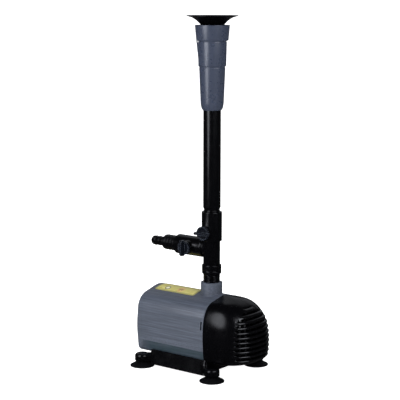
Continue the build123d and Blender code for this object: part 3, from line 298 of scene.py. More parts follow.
def windings(name, color, pitch):
    """Rows of enamelled wire round upright bobbins."""
    s = Shader(name)
    split = s.add("ShaderNodeSeparateXYZ")
    s.join(s.place, split.inputs[0])
    turns = s.math("SINE", s.math("MULTIPLY", split.outputs["Z"], 2 * math.pi / (pitch * MM)))
    s.set(
        Base_Color=s.mix(s.remap(turns, -1, 1, 0, 1), shade(color, 0.5), color),
        Metallic=1.0,
        Roughness=s.remap(s.noise(4, 3), 0.3, 0.7, 0.25, 0.4),
        Coat_Weight=0.6,
        Normal=s.bump(turns, 0.12),
    )
    return s.material


def printed_label(name):
    """A yellow film label with a border, a ring mark, a wave mark and print mottling."""
    lo, hi = low("name_plate"), high("name_plate")
    centre = (lo + hi) / 2
    half = (hi - lo) / 2
    s = Shader(name)
    split = s.add("ShaderNodeSeparateXYZ")
    s.join(s.place, split.inputs[0])
    x = s.math("SUBTRACT", s.math("MULTIPLY", split.outputs["X"], 1 / MM), float(centre[0]))
    y = s.math("SUBTRACT", s.math("MULTIPLY", split.outputs["Y"], 1 / MM), float(centre[1]))

    def disc(at, radius, squeeze=1.0):
        dx = s.math("SUBTRACT", x, at[0])
        dy = s.math("MULTIPLY", s.math("SUBTRACT", y, at[1]), squeeze)
        away = s.math("SQRT", s.math("ADD", s.math("MULTIPLY", dx, dx), s.math("MULTIPLY", dy, dy)))
        return s.remap(away, radius - 0.25, radius + 0.25, 1, 0)

    paper = s.mix(s.remap(s.noise(7, 4), 0.35, 0.7, 0, 1), (0.50, 0.44, 0.08), (0.61, 0.55, 0.16))
    paper = s.mix(s.remap(s.noise(26, 3), 0.4, 0.7, 0, 0.5), paper, (0.56, 0.50, 0.15))
    # border lines near the edges
    across = s.math("SUBTRACT", float(half[1]) - 1.6, s.math("ABSOLUTE", y))
    along = s.math("SUBTRACT", float(half[0]) - 1.6, s.math("ABSOLUTE", x))
    inside = s.math("MINIMUM", across, along)
    line = s.remap(s.math("ABSOLUTE", inside), 0.4, 0.85, 0.85, 0)
    color = s.mix(s.remap(inside, -0.3, 0.3, 0.5, 0), paper, (0.26, 0.23, 0.05))
    color = s.mix(line, color, (0.20, 0.18, 0.05))
    # water-drop ring
    ring = (RING_MARK_X, MARK_Y)
    color = s.mix(disc(ring, 4.6), color, (0.10, 0.09, 0.04))
    color = s.mix(disc(ring, 3.1), color, (0.80, 0.78, 0.55))
    # a warm patch with a small double wave
    wave_at = (WAVE_MARK_X, MARK_Y + 1.0)
    color = s.mix(s.math("MULTIPLY", disc(wave_at, 6.0, 0.8), 0.45), color, (0.70, 0.30, 0.12))
    swell = s.math("SINE", s.math("MULTIPLY", x, 1.35))
    for offset in (0.0, 2.4):
        height = s.math("SUBTRACT", y, wave_at[1] - 1.2 + offset)
        gap = s.math("ABSOLUTE", s.math("SUBTRACT", height, s.math("MULTIPLY", swell, 0.8)))
        stroke = s.math("MULTIPLY", s.remap(gap, 0.45, 0.8, 1, 0), disc(wave_at, 4.0))
        color = s.mix(stroke, color, (0.09, 0.07, 0.04))
    s.set(
        Base_Color=color,
        Roughness=s.remap(s.noise(11, 5), 0.3, 0.7, 0.26, 0.4),
        Coat_Weight=0.35,
        Coat_Roughness=0.15,
        Normal=s.bump(s.noise(9, 3), 0.03),
    )
    return s.material


RING_MARK_X, WAVE_MARK_X, MARK_Y = -18.2, 6.4, -10.4

CREASE_Z = 38.0
HOUSING_GREY = (0.066, 0.076, 0.098)
NOZZLE_GREY = (0.031, 0.038, 0.059)
BLACK = (0.0009, 0.0009, 0.0013)

MATERIALS = {
    # housing_grey: a painted shade band below the crease, and painted highlight lines along its edges
    "housing_grey": plastic(
        "housing_grey", HOUSING_GREY, 0.46, streak=0.6, specular=0.42, low_band=(CREASE_Z, -82, -66),
        rim=(1.2, (0.15, 0.165, 0.19)),
    ),
    # nozzle_grey: painted highlight lines along its edges
    "nozzle_grey": plastic(
        "nozzle_grey", NOZZLE_GREY, 0.3, depth=0.003, mottle=0.02, specular=0.6,
        rim=(0.8, (0.10, 0.118, 0.16)), wave=0.006,
    ),
    "label_yellow": printed_label("label_yellow"),
    "black_gloss": plastic("black_gloss", BLACK, 0.24, grain=0.8, depth=0.002, wear=0.0, specular=0.2),
    "rib_black": plastic("rib_black", BLACK, 0.2, grain=0.8, depth=0.002, wear=0.0, specular=0.5),
    "black_satin": plastic("black_satin", BLACK, 0.22, depth=0.004, wear=0.0, specular=0.28),
    # A glossier black for the knobs, with painted highlight lines along their rims
    "black_painted_rims": plastic(
        "black_painted_rims", (0.004, 0.005, 0.008), 0.2, depth=0.004, wear=0.0, specular=0.4,
        rim=(0.9, (0.10, 0.115, 0.14)),
    ),
    "black_rubber": rubber("black_rubber", (0.0016, 0.0016, 0.002)),
    "seal_rubber": rubber("seal_rubber", (0.012, 0.012, 0.012)),
    "laminated_steel": laminations("laminated_steel", (0.30, 0.30, 0.32), 0.8),
    "white_nylon": plastic("white_nylon", (0.72, 0.70, 0.64), 0.4, wear=0.0),
    "enamelled_copper": windings("enamelled_copper", (0.60, 0.20, 0.07), 0.8),
    "dark_resin": plastic("dark_resin", (0.02, 0.02, 0.024), 0.22, wear=0.0),
    "ferrite": metal("ferrite", (0.10, 0.10, 0.11), 0.45),
    "ceramic": plastic("ceramic", (0.80, 0.78, 0.72), 0.18, wear=0.0),
    "stainless": metal("stainless", (0.58, 0.58, 0.57), 0.28, stretch=(1, 1, 0.2)),
}

# ---------------------------------------------------------------- mesh tools

SMOOTH_ANGLE = math.radians(38)


def make_piece(name, points, faces, slot, body, *nodes):
    """A mesh piece from points in millimetres, riding on a body in place of CAD nodes."""
    mesh = bpy.data.meshes.new(name)
    mesh.from_pydata([tuple(p) for p in np.asarray(points) * MM], [], faces)
    mesh.validate()
    piece = bpy.data.objects.new(name, mesh)
    bpy.context.collection.objects.link(piece)
    return dress(piece, slot, body, *nodes)


def dress(piece, slot, body, *nodes):
    """Outward normals, smooth shading, finish, body and replaced nodes for a new piece."""
    work = bmesh.new()
    work.from_mesh(piece.data)
    bmesh.ops.remove_doubles(work, verts=work.verts, dist=1e-7)
    bmesh.ops.recalc_face_normals(work, faces=work.faces)
    work.to_mesh(piece.data)
    work.free()
    piece.data.shade_smooth()
    piece.data.set_sharp_from_angle(angle=SMOOTH_ANGLE)
    piece.data.materials.append(MATERIALS[slot])
    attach(piece, body)
    if nodes:
        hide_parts(*nodes)
    return piece


def soften(corners, steps=5):
    """A closed outline with its corners rounded: each corner is (radius, height, rounding)."""
    outline = []
    count = len(corners)
    for index, (x, z, rounding) in enumerate(corners):
        here = np.array([x, z], float)
        before = np.array(corners[index - 1][:2], float)
        after = np.array(corners[(index + 1) % count][:2], float)
        if rounding <= 0:
            outline.append(here)
            continue
        back, ahead = before - here, after - here
        back_length, ahead_length = np.linalg.norm(back), np.linalg.norm(ahead)
        reach = min(rounding, back_length * 0.48, ahead_length * 0.48)
        start = here + back / back_length * reach
        end = here + ahead / ahead_length * reach
        for step in range(steps + 1):
            t = step / steps
            outline.append((1 - t) ** 2 * start + 2 * t * (1 - t) * here + t**2 * end)
    return outline


def turn_outline(outline, segments=96, shift=None):
    """Points and faces of a closed outline of (radius, height) turned about the Z axis.
    shift, if given, maps (radius, height, angle) to a new (radius, height)."""
    points, faces, rows = [], [], []
    for radius, height in outline:
        row = []
        for number in range(1 if radius < 1e-6 else segments):
            angle = 2 * math.pi * number / segments
            r, z = (radius, height) if shift is None else shift(radius, height, angle)
            row.append(len(points))
            points.append((r * math.cos(angle), r * math.sin(angle), z))
        rows.append(row)
    for index, row in enumerate(rows):
        other = rows[(index + 1) % len(rows)]
        for number in range(segments):
            ahead = (number + 1) % segments
            if len(row) > 1 and len(other) > 1:
                faces.append((row[number], row[ahead], other[ahead], other[number]))
            elif len(row) > 1:
                faces.append((row[number], row[ahead], other[0]))
            elif len(other) > 1:
                faces.append((row[0], other[ahead], other[number]))
    return np.array(points), faces


def upright(points, x, y=0.0):
    """Turned points moved to stand on the axis at (x, y)."""
    return points + np.array([x, y, 0.0])


def lying(points, z):
    """Turned points laid along X at height z: their height becomes X."""
    return np.stack([points[:, 2], points[:, 0], points[:, 1] + z], axis=1)


def joined(*parts):
    """Several (points, faces) as one."""
    points, faces, first = [], [], 0
    for some_points, some_faces in parts:
        points.append(np.asarray(some_points))
        faces += [tuple(i + first for i in face) for face in some_faces]
        first += len(some_points)
    return np.vstack(points), faces


# ---------------------------------------------------------------- riser, nozzle and trumpet

RISER_R = (high("riser_tube") - low("riser_tube"))[0] / 2
RISER_BOTTOM, RISER_TOP = low("riser_tube")[2], high("riser_tube")[2]
TEE_TOP = high("diverter_body")[2]
NECK_R = 11.85
NOZZLE_BOTTOM, NOZZLE_RIM = low("nozzle_body")[2], high("nozzle_body")[2]


def make_riser():
    shoulder = TEE_TOP + 6.0
    outline = soften(
        [
            (9.6, RISER_BOTTOM, 0),
            (NECK_R, RISER_BOTTOM, 0.4),
            (NECK_R, TEE_TOP + 1.6, 0.2),
            (NECK_R - 0.5, TEE_TOP + 2.2, 0.2),
            (NECK_R - 0.5, TEE_TOP + 3.2, 0.2),
            (NECK_R, TEE_TOP + 3.8, 0.2),
            (NECK_R, shoulder - 1.2, 0.5),
            (RISER_R, shoulder + 0.4, 0.6),
            (RISER_R, RISER_TOP, 0.4),
            (RISER_R - 2, RISER_TOP, 0.4),
            (RISER_R - 2, shoulder + 2, 0.6),
            (9.6, shoulder - 2, 0.6),
        ]
    )
    points, faces = turn_outline(outline)
    make_piece("riser_pipe", upright(points, RISER_X), faces, "black_satin", "tee", "riser_tube")


# One straight rib on the nozzle: where it stands, half its width, and its corners as radius and
# height above the nozzle's lower end
NOZZLE_RIB_TURN = math.radians(217.4)
NOZZLE_RIB_HALF = 1.3
NOZZLE_RIB_CORNERS = ((17.2, 59.0), (18.8, 61.5), (23.05, 101.0), (21.2, 101.0))
# Outside of the nozzle body: radius, height above its lower end, and rounding
NOZZLE_SKIN = (
    (13.2, 0.0, 0.8),
    (15.2, 2.6, 2.2),
    (16.5, 9.0, 2.0),
    (18.66, 60.2, 0.3),
    (18.1, 61.2, 0.3),
    (18.2, 62.2, 0.2),
    (19.85, 62.9, 0.5),
    (20.6, 96.4, 0.3),
    (20.1, 97.4, 0.3),
    (20.3, 98.4, 0.2),
    (22.95, 99.2, 0.5),
    (24.9, 120.7, 0.7),
)


def make_nozzle():
    skin = [(r, NOZZLE_BOTTOM + z, rounding) for r, z, rounding in NOZZLE_SKIN]
    inside = [
        (22.5, NOZZLE_RIM, 0.6),
        (20.6, NOZZLE_BOTTOM + 100.5, 0.6),
        (18.2, NOZZLE_BOTTOM + 98.0, 0.6),
        (17.4, NOZZLE_BOTTOM + 64.0, 0.6),
        (16.1, NOZZLE_BOTTOM + 61.0, 0.6),
        (13.9, RISER_TOP + 2, 0.6),
        (11.0, RISER_TOP + 0.2, 0.3),
        (RISER_R + 0.02, RISER_TOP, 0.0),
        (RISER_R + 0.02, NOZZLE_BOTTOM, 0.3),
    ]
    points, faces = turn_outline(soften(skin + inside), 128)
    # the rib carries the rim's taper down across the two steps and narrows towards the rim
    rib = []
    for sign in (-1, 1):
        for r, z in NOZZLE_RIB_CORNERS:
            narrowing = 0.8 if r > 20 else 1.0
            rib.append((r, sign * NOZZLE_RIB_HALF * narrowing, NOZZLE_BOTTOM + z))
    rib_faces = [(3, 2, 1, 0), (4, 5, 6, 7), (0, 1, 5, 4), (1, 2, 6, 5), (2, 3, 7, 6), (3, 0, 4, 7)]
    turn = Matrix.Rotation(NOZZLE_RIB_TURN, 3, "Z")
    rib = np.array([tuple(turn @ Vector(p)) for p in rib])
    points, faces = joined((points, faces), (rib, rib_faces))
    make_piece("nozzle_shell", upright(points, RISER_X), faces, "nozzle_grey", "tee", "nozzle_body")


def make_trumpet():
    bottom, top = low("trumpet_flare")[2], high("trumpet_flare")[2]
    reach = (high("trumpet_flare") - low("trumpet_flare"))[0] / 2
    outline = soften(
        [
            (0.0, bottom, 0),
            (15.4, bottom, 1.0),
            (16.3, bottom + 3.4, 1.0),
            (18.2, bottom + 5.6, 1.5),
            (23.4, bottom + 10.8, 3.0),
            (28.6, bottom + 14.0, 4.0),
            (reach - 1.0, top - 1.0, 0.5),
            (reach + 0.8, top - 0.8, 0.4),
            (reach + 0.8, top + 0.4, 0.3),
            (reach - 1.0, top + 0.5, 0.4),
            (28.0, top - 1.1, 4.0),
            (21.5, top - 4.4, 4.0),
            (15.6, top - 10.2, 2.0),
            (5.2, top - 10.6, 0.4),
            (5.0, top - 9.2, 0.4),
            (2.6, top - 9.0, 0.3),
            (2.4, top - 10.0, 0.2),
            (0.0, top - 10.0, 0),
        ],
        steps=7,
    )
    points, faces = turn_outline(outline, 144)
    make_piece(
        "trumpet_bell", upright(points, RISER_X), faces, "black_gloss", "trumpet", "trumpet_flare"
    )


# ---------------------------------------------------------------- outlet adapter and hose tail

THREAD_PITCH, THREAD_DEPTH = 1.8, 0.75


def make_adapter():
    bottom, top = low("outlet_adapter")[2], high("outlet_adapter")[2]
    ring_bottom = top - 12.6
    ring_r = (high("outlet_adapter") - low("outlet_adapter"))[0] / 2
    spigot_r, bore_r = 12.35, 9.0
    socket_r, socket_floor = 12.1, top - 10.4
    thread_from, thread_top = bottom + 6, ring_bottom - 1.4
    rows = [(spigot_r, bottom + 0.6)]
    rows += [(spigot_r, z) for z in np.arange(thread_from, thread_top, THREAD_PITCH / 8)]
    rows += [(spigot_r - THREAD_DEPTH / 2, thread_top + 0.3)]
    upper = soften(
        [
            (spigot_r - THREAD_DEPTH / 2, ring_bottom, 0.4),
            (ring_r, ring_bottom, 0.9),
            (ring_r, ring_bottom + 3.6, 0.25),
            (ring_r - 0.35, ring_bottom + 4.0, 0.2),
            (ring_r - 0.35, ring_bottom + 4.6, 0.2),
            (ring_r, ring_bottom + 5.0, 0.25),
            (ring_r, top, 0.9),
            (socket_r, top, 0.4),
            (socket_r, socket_floor, 0.3),
            (bore_r, socket_floor, 0.3),
            (bore_r, bottom, 0.3),
            (spigot_r - 0.5, bottom, 0.3),
        ]
    )

    def screw(radius, height, angle):
        if thread_from < height <= thread_top and radius > spigot_r - 0.1:
            phase = (height / THREAD_PITCH - angle / (2 * math.pi)) % 1.0
            wave = abs(2 * phase - 1)
            fade = min(1.0, (thread_top - height) / THREAD_PITCH, (height - thread_from) / THREAD_PITCH)
            return radius - THREAD_DEPTH * max(0.0, fade) * min(1.0, 1.5 * wave), height
        return radius, height

    points, faces = turn_outline(rows + upper, 96, screw)
    make_piece(
        "outlet_spigot", upright(points, RISER_X), faces, "black_satin", "pump", "outlet_adapter"
    )


BRANCH_Z = middle("hose_tail")[2]
BRANCH_END = low("diverter_body")[0]


def barb_rows(start, end, root, crest, count):
    """Hose barbs that rise from the tip side and drop off sharply towards the body."""
    pitch = (end - start) / count
    rows = []
    for number in range(count):
        tip = start + pitch * number
        rows += [(root, tip + 0.05, 0.3), (crest, tip + pitch * 0.62, 0.7)]
        rows += [(crest - 0.1, tip + pitch * 0.78, 0.5), (root, tip + pitch * 0.84, 0.3)]
    return rows


def make_hose_tail():
    tip, inner = low("hose_tail")[0], high("hose_tail")[0]
    small_end = tip + 24
    bore_r, spigot_r = 4.5, 9.85
    corners = [(bore_r, tip, 0.4), (5.0, tip, 0.5), (6.3, tip + 1.6, 1.5)]
    corners += barb_rows(tip + 1.7, small_end, 6.5, 7.2, 3)
    corners += [(6.6, small_end, 0.4), (9.4, small_end + 0.1, 1.0), (10.6, small_end + 1.2, 1.5)]
    corners += barb_rows(small_end + 1.4, BRANCH_END - 1.2, 10.8, 11.4, 4)
    corners += [
        (10.8, BRANCH_END - 1.6, 0.3),
        (12.3, BRANCH_END - 1.0, 0.5),
        (12.4, BRANCH_END - 0.1, 0.0),
        (spigot_r, BRANCH_END, 0.0),
        (spigot_r, inner, 0.5),
        (bore_r, inner, 0.4),
    ]
    points, faces = turn_outline(soften(corners, 4), 96)
    make_piece("hose_barbs", lying(points, BRANCH_Z), faces, "black_satin", "tee", "hose_tail")


# ---------------------------------------------------------------- strainer

NOSE_LENGTH = high("strainer_cage")[0] - SEAM_X
NOSE_TIP_Z = 48.0
NOSE_ROUND = 0.72                 # power of the nose's plan: 1 would be an ellipse
RIB_START = 48.5                  # from the seam to where the slots begin
RIB_PITCH = 6.9
FIRST_RIB_Z, RIB_COUNT = 28.6, 11
NOSE_FLOOR = low("strainer_cage")[2]
NOSE_TOP = high("strainer_cage")[2]
# The strainer's cross-section at the seam: half-width, height and rounding of its corners at the
# floor, the waist, below the shoulder, at the shoulder and at the crown
SECTION_CORNERS = (
    (46.6, NOSE_FLOOR, 8.5),
    (50.0, 49.0, 13.0),
    (48.9, 84.0, 15.0),
    (37.4, 105.3, 18.7),
    (0.0, NOSE_TOP + 0.09, 1.0),
)


def section_rows():
    """(half-width, height) rows up one side of the cross-section, from the floor to the crown."""
    shoulder = SECTION_CORNERS[-2]
    other_side = [(-shoulder[0], shoulder[1], 0), (0.0, NOSE_FLOOR, 0)]
    outline = np.array(soften([*SECTION_CORNERS, *other_side], steps=12))
    return outline[: np.argmax(outline[:, 1]) + 1]


SECTION = section_rows()


def seam_half_width(z):
    return float(np.interp(z, SECTION[:, 1], SECTION[:, 0]))


def nose_reach(z):
    """How far forward of the seam the nose comes at height z."""
    if z >= NOSE_TIP_Z:
        part = min(1.0, (z - NOSE_TIP_Z) / (NOSE_TOP + 0.05 - NOSE_TIP_Z))
        return NOSE_LENGTH * (1 - part**2.36) ** (1 / 2.36)
    part = min(1.0, (NOSE_TIP_Z - z) / (NOSE_TIP_Z - NOSE_FLOOR + 0.05))
    return NOSE_LENGTH * (1 - part**6.0) ** (1 / 6.0)


def nose_point(z, turn, proud=0.0):
    """A point on the nose at height z, turn radians round from straight ahead."""
    c, s = abs(math.cos(turn)), abs(math.sin(turn))
    x = (nose_reach(z) + proud) * c**NOSE_ROUND
    y = (seam_half_width(z) + proud) * s**NOSE_ROUND * (1 if turn > 0 else -1)
    return np.array([SEAM_X + x, y, z])


def slot_turn(z):
    """How far round the slots begin, on either side of straight ahead."""
    reach = nose_reach(z)
    if reach <= RIB_START * 1.02:
        return 0.2
    return max(0.2, math.acos((RIB_START / reach) ** (1 / NOSE_ROUND)))


def make_strainer():
    rib_top = FIRST_RIB_Z + RIB_PITCH * (RIB_COUNT - 0.5)
    window_low, window_high = FIRST_RIB_Z - 1.0, rib_top
    levels = list(NOSE_FLOOR + (window_low - NOSE_FLOOR) * np.linspace(0, 1, 16) ** 2)
    levels += list(np.linspace(window_low, window_high, 40))[1:]
    levels += list(NOSE_TOP - (NOSE_TOP - window_high) * (1 - np.linspace(0, 1, 22)) ** 2)[1:]
    cheek_columns, front_columns = 26, 36
    grid = []
    for z in levels:
        edge = slot_turn(z)
        turns = list(np.linspace(-math.pi / 2, -edge, cheek_columns + 1))
        turns += list(np.linspace(-edge, edge, front_columns + 1))[1:-1]
        turns += list(np.linspace(edge, math.pi / 2, cheek_columns + 1))
        grid.append([nose_point(z, turn) for turn in turns])
    width = len(grid[0])
    points = [p for row in grid for p in row]
    faces = []
    for r in range(len(grid) - 1):
        slotted = window_low - 1e-6 <= levels[r] and levels[r + 1] <= window_high + 1e-6
        for c in range(width - 1):
            if slotted and cheek_columns <= c < width - 1 - cheek_columns:
                continue
            a = r * width + c
            faces.append((a, a + 1, a + width + 1, a + width))
    # floor of the strainer: strips between matching points either side
    for c in range(width // 2):
        a, b = c, width - 1 - c
        if a + 1 < b - 1:
            faces.append((b, b - 1, a + 1, a))
        elif a + 1 == b - 1:
            faces.append((b, a + 1, a))
    shell = make_piece("strainer_shell", points, faces, "black_gloss", "strainer", "strainer_cage")
    wall = shell.modifiers.new("wall", "SOLIDIFY")
    wall.thickness = 2.4 * MM
    wall.offset = -1.0
    wall.use_even_offset = True
    rim = shell.modifiers.new("rim", "BEVEL")
    rim.width = 0.7 * MM
    rim.segments = 3
    rim.limit_method = "ANGLE"
    rim.angle_limit = math.radians(50)
    make_ribs()
    make_inner_bars(window_low, window_high)
    make_tongue()


RIB_HALF_HEIGHT, RIB_DEPTH = 2.25, 5.0
RIB_FRONT, RIB_SIDE = 0.8, -1.5          # how far its crest and its sides stand from the skin
RIB_FADE = 7.0                           # over this length a rib widens into the cheek


def rib_section():
    """The rib's outline as (out from the skin, up) points: a flat back and a round front."""
    back = [(-RIB_DEPTH, -1.2), (-RIB_DEPTH, 1.2)]
    front = []
    for step in range(11):
        angle = math.pi * (0.5 - step / 10)
        out = RIB_SIDE + (RIB_FRONT - RIB_SIDE) * math.cos(angle)
        front.append((out, RIB_HALF_HEIGHT * math.sin(angle)))
    return back + front


def make_ribs():
    """The rounded ribs between the slots, each following the nose from cheek to cheek and
    widening at its ends until it meets its neighbours flush with the cheek."""
    parts = []
    columns = 72
    section = rib_section()
    spread = 0.5 * RIB_PITCH / RIB_HALF_HEIGHT
    for number in range(RIB_COUNT):
        z = FIRST_RIB_Z + RIB_PITCH * number
        edge = slot_turn(z) + 0.03
        rings = []
        for c in range(columns + 1):
            # columns crowd towards the ends, where the shape changes
            turn = edge * math.sin(math.pi / 2 * (2 * c / columns - 1))
            here, end = nose_point(z, turn), nose_point(z, math.copysign(edge, turn))
            share = min(1.0, np.linalg.norm(here - end) / RIB_FADE)
            round_share = share * share * (3 - 2 * share)
            ring = []
            for out, up in section:
                if out > -RIB_DEPTH:
                    out = 0.04 + (out - 0.04) * round_share
                    up = up * (round_share + (1 - round_share) * spread)
                ring.append(nose_point(z + up, turn, out))
            rings.append(ring)
        points = np.array([p for ring in rings for p in ring])
        size = len(section)
        faces = []
        for c in range(columns):
            for k in range(size):
                a, b = c * size + k, c * size + (k + 1) % size
                faces.append((a, b, b + size, a + size))
        faces.append(tuple(range(size)))
        faces.append(tuple(reversed(range(columns * size, (columns + 1) * size))))
        parts.append((points, faces))
    points, faces = joined(*parts)
    ribs = make_piece("strainer_ribs", points, faces, "black_gloss", "strainer")
    ribs.data.materials[0] = MATERIALS["rib_black"]


BAR_TURNS = (-0.75, -0.5, -0.25, 0.0, 0.25, 0.5, 0.75)      # as shares of the slots' reach
BAR_FRONT, BAR_BACK, BAR_HALF_WIDTH = -4.2, -7.0, 1.2       # front and back from the skin


def make_inner_bars(start, end):
    """Upright bars behind the ribs that tie them together and keep debris out."""
    parts = []
    heights = np.linspace(start, end, 24)
    for share in BAR_TURNS:
        rings = []
        for z in heights:
            turn = slot_turn(z) * share
            outer, inner = nose_point(z, turn, BAR_FRONT), nose_point(z, turn, BAR_BACK)
            side = nose_point(z, turn + 0.02, BAR_FRONT) - nose_point(z, turn - 0.02, BAR_FRONT)
            side = side / np.linalg.norm(side) * BAR_HALF_WIDTH
            rings.append([outer - side, outer + side, inner + side, inner - side])
        points = np.array([p for ring in rings for p in ring])
        faces = []
        for r in range(len(rings) - 1):
            for k in range(4):
                a, b = r * 4 + k, r * 4 + (k + 1) % 4
                faces.append((a, b, b + 4, a + 4))
        faces.append((0, 1, 2, 3))
        last = (len(rings) - 1) * 4
        faces.append((last + 3, last + 2, last + 1, last))
        parts.append((points, faces))
    points, faces = joined(*parts)
    make_piece("strainer_bars", points, faces, "black_satin", "strainer")


TONGUE_GAP, TONGUE_WALL = 2.7, 1.8       # in from the skin, and its own thickness
TONGUE_BOTTOM, TONGUE_SHOULDER, TONGUE_MIDDLE = 23.4, 102, 66


def make_tongue():
    """The lip that fits inside the housing's mouth."""
    heights = list(np.linspace(TONGUE_BOTTOM, TONGUE_SHOULDER, 30))
    heights += list(np.linspace(TONGUE_SHOULDER, NOSE_TOP - TONGUE_GAP, 14))[1:]
    outer = []
    for z in heights:
        skin_z = z + 2.6 * (z - TONGUE_MIDDLE) / 44
        outer.append((max(1.0, seam_half_width(skin_z) - TONGUE_GAP), z))
    loop = outer + [(-y, z) for y, z in reversed(outer)]
    back, front = low("strainer_cage")[0], SEAM_X + 3.0
    count = len(loop)
    points = []
    for x, inset in ((back, 0.0), (front, 0.0), (front, TONGUE_WALL), (back, TONGUE_WALL)):
        for y, z in loop:
            shrink = 1 - inset / 47.0
            points.append((x, y * shrink, TONGUE_MIDDLE + (z - TONGUE_MIDDLE) * shrink))
    faces = []
    for layer in range(4):
        after = (layer + 1) % 4
        for k in range(count):
            j = (k + 1) % count
            faces.append((layer * count + k, layer * count + j, after * count + j, after * count + k))
    make_piece("strainer_tongue", points, faces, "black_satin", "strainer")


# ---------------------------------------------------------------- feet

CUP_NODES = [n for n in frame["nodes"] if n.startswith("suction_cup")]


def make_cups():
    for node in CUP_NODES:
        lo, hi = low(node), high(node)
        reach = (hi - lo)[0] / 2
        outline = soften(
            [
                (reach - 1.6, 0.0, 0.3),
                (reach, 0.0, 0.35),
                (reach, 1.3, 0.6),
                (reach - 2.2, 2.0, 1.5),
                (12.6, 4.3, 3.0),
                (8.2, 6.6, 2.0),
                (6.6, 8.5, 0.3),
                (4.0, 8.5, 0.3),
                (4.0, hi[2], 0.5),
                (0.0, hi[2], 0),
                (0.0, 3.8, 0),
                (8.0, 3.3, 2.0),
            ],
            steps=5,
        )
        points, faces = turn_outline(outline, 72)
        centre = (lo + hi) / 2
        points = upright(points, centre[0], centre[1])
        make_piece(node + "_rubber", points, faces, "black_rubber", "pump", node)


# ---------------------------------------------------------------- CAD nodes that stay

SOFT_EDGES = {
    "motor_housing": 0.5,
    "base_bracket": 0.8,
    "diverter_body": 0.6,
    "riser_valve_knob": 0.45,
    "branch_valve_knob": 0.45,
    "cable_gland": 0.3,
    "gland_nut": 0.3,
    "volute_cover": 0.3,
    "impeller": 0.3,
    "strainer_latches": 0.3,
}


# Nodes in a glossier black with painted highlight lines along their rims
PAINTED_RIM_NODES = ("riser_valve_knob", "branch_valve_knob")


def dress_cad_nodes():
    """Materials and softened edges for the CAD nodes that stay in view."""
    slots = {part["node"]: part["material_slot"] for part in frame["record"]["subparts"]}
    for name, node in frame["nodes"].items():
        node.data.materials.clear()
        look = "black_painted_rims" if name in PAINTED_RIM_NODES else slots[name]
        node.data.materials.append(MATERIALS[look])
        if name in SOFT_EDGES:
            weld = node.modifiers.new("weld", "WELD")
            weld.merge_threshold = 1e-6
            soft = node.modifiers.new("soft", "BEVEL")
            soft.width = SOFT_EDGES[name] * MM
            soft.segments = 3
            soft.limit_method = "ANGLE"
            soft.angle_limit = math.radians(40)
            soft.use_clamp_overlap = True
            soft.harden_normals = True


# ---------------------------------------------------------------- stage and light

# In metres from here on: the sweep's back wall, the radius of its bend, its height, its front
# edge and half its width; how far below the feet it lies; and the wall all round
SWEEP_BACK, SWEEP_RADIUS, SWEEP_HEIGHT = 3.2, 1.4, 5.0
SWEEP_FRONT, SWEEP_HALF = -2.5, 5.0
FLOOR_Z = -0.0003
FAR_WALL, FAR_FLOOR_Z = 16.0, -0.002
COOL_WHITE = (0.95, 0.98, 1.06)


def make_stage():
    """A plain pale floor that sweeps up behind the object."""
    s = Shader("studio_white")
    tone = s.mix(s.remap(s.noise(400, 2), 0.3, 0.7, 0, 1), (0.62, 0.62, 0.62), (0.64, 0.64, 0.64))
    s.set(Base_Color=tone, Roughness=0.9, Specular_IOR_Level=0.0)
    s.surface.inputs["Emission Color"].default_value = (1, 1, 1, 1)
    s.surface.inputs["Emission Strength"].default_value = 1.0
    bend_start = SWEEP_BACK - SWEEP_RADIUS
    profile = [(SWEEP_FRONT, FLOOR_Z), (bend_start, FLOOR_Z)]
    for step in range(1, 17):
        angle = math.pi / 2 * step / 16
        rise = SWEEP_RADIUS * (1 - math.cos(angle))
        profile.append((bend_start + SWEEP_RADIUS * math.sin(angle), rise + FLOOR_Z))
    profile.append((SWEEP_BACK, SWEEP_HEIGHT))
    back = Vector((-math.sin(CAMERA_TURN), math.cos(CAMERA_TURN), 0))
    side = Vector((back.y, -back.x, 0))
    points, faces = [], []
    for away, height in profile:
        for reach in (-SWEEP_HALF, SWEEP_HALF):
            points.append(back * away + side * reach + Vector((0, 0, height)))
    for row in range(len(profile) - 1):
        faces.append((2 * row, 2 * row + 1, 2 * row + 3, 2 * row + 2))
    mesh = bpy.data.meshes.new("studio_sweep")
    mesh.from_pydata([tuple(p) for p in points], [], faces)
    mesh.shade_smooth()
    sweep = bpy.data.objects.new("studio_sweep", mesh)
    bpy.context.collection.objects.link(sweep)
    mesh.materials.append(s.material)
    sweep.visible_glossy = False
    make_surround(s.material)


def make_surround(material):
    """A wide bowl of the same white all round, so that no view looks past the floor's edge. Only
    the camera sees it; the light is that of the sweep alone."""
    bend = FAR_WALL / 4
    profile = [(0.5, FAR_FLOOR_Z), (FAR_WALL - bend, FAR_FLOOR_Z)]
    for step in range(1, 13):
        angle = math.pi / 2 * step / 12
        profile.append((FAR_WALL - bend + bend * math.sin(angle), bend * (1 - math.cos(angle))))
    profile.append((FAR_WALL, FAR_WALL))
    points, faces = [], []
    spokes = 64
    for reach, height in profile:
        for k in range(spokes):
            turn = 2 * math.pi * k / spokes
            points.append((reach * math.cos(turn), reach * math.sin(turn), height))
    for row in range(len(profile) - 1):
        for k in range(spokes):
            a, b = row * spokes + k, row * spokes + (k + 1) % spokes
            faces.append((a, b, b + spokes, a + spokes))
    mesh = bpy.data.meshes.new("studio_surround")
    mesh.from_pydata(points, [], faces)
    mesh.shade_smooth()
    surround = bpy.data.objects.new("studio_surround", mesh)
    bpy.context.collection.objects.link(surround)
    mesh.materials.append(material)
    surround.visible_glossy = False
    surround.visible_diffuse = False
    surround.visible_shadow = False
    surround.visible_transmission = False


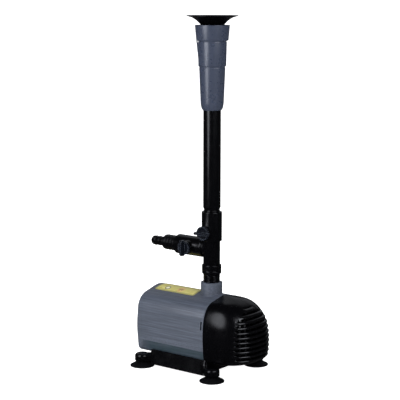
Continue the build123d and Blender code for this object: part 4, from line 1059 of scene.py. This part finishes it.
def soft_box(name, azimuth, heights, distance, width, power, glossy=True, shape="RECTANGLE"):
    """A lamp facing the object; azimuth is from the camera's side, positive to its right, and
    heights are those of its lower and upper edge."""
    turn = CAMERA_TURN + math.radians(azimuth)
    data = bpy.data.lights.new(name, "AREA")
    data.shape = shape
    data.size, data.size_y = width, heights[1] - heights[0]
    data.energy = power
    data.color = COOL_WHITE
    lamp = bpy.data.objects.new(name, data)
    bpy.context.collection.objects.link(lamp)
    target = Vector((RISER_X * MM, 0, 0.25))
    lamp.location = (
        target.x + math.sin(turn) * distance,
        target.y - math.cos(turn) * distance,
        sum(heights) / 2,
    )
    aim = target - lamp.location
    aim.z = 0
    lamp.rotation_mode = "QUATERNION"
    lamp.rotation_quaternion = aim.to_track_quat("-Z", "Y")
    lamp.visible_glossy = glossy
    lamp.visible_camera = False


def top_box(name, height, size, power):
    """A square lamp overhead, facing down, that leaves no highlight."""
    data = bpy.data.lights.new(name, "AREA")
    data.shape = "SQUARE"
    data.size = size
    data.energy = power
    lamp = bpy.data.objects.new(name, data)
    bpy.context.collection.objects.link(lamp)
    lamp.location = (0.3, -0.4, height)
    lamp.visible_glossy = False


def make_light():
    """A faint even glow, three soft boxes that give the highlights, and two that only fill."""
    world = bpy.data.worlds.new("studio")
    world.use_nodes = True
    background = world.node_tree.nodes["Background"]
    background.inputs["Color"].default_value = (1, 1, 1, 1)
    background.inputs["Strength"].default_value = 0.03
    bpy.context.scene.world = world
    soft_box("key", -50, (0.12, 1.9), 1.5, 1.05, 26, shape="ELLIPSE")
    soft_box("right", 41, (0.6, 2.1), 1.7, 1.4, 27)
    soft_box("behind", 180, (0.45, 2.1), 1.6, 2.2, 3.6)
    soft_box("front_fill", -6, (0.3, 2.4), 3.2, 2.4, 17, glossy=False)
    top_box("overhead", 2.6, 2.2, 20)


make_camera()
make_stage()
make_light()
dress_cad_nodes()
make_riser()
make_nozzle()
make_trumpet()
make_adapter()
make_hose_tail()
make_strainer()
make_cups()
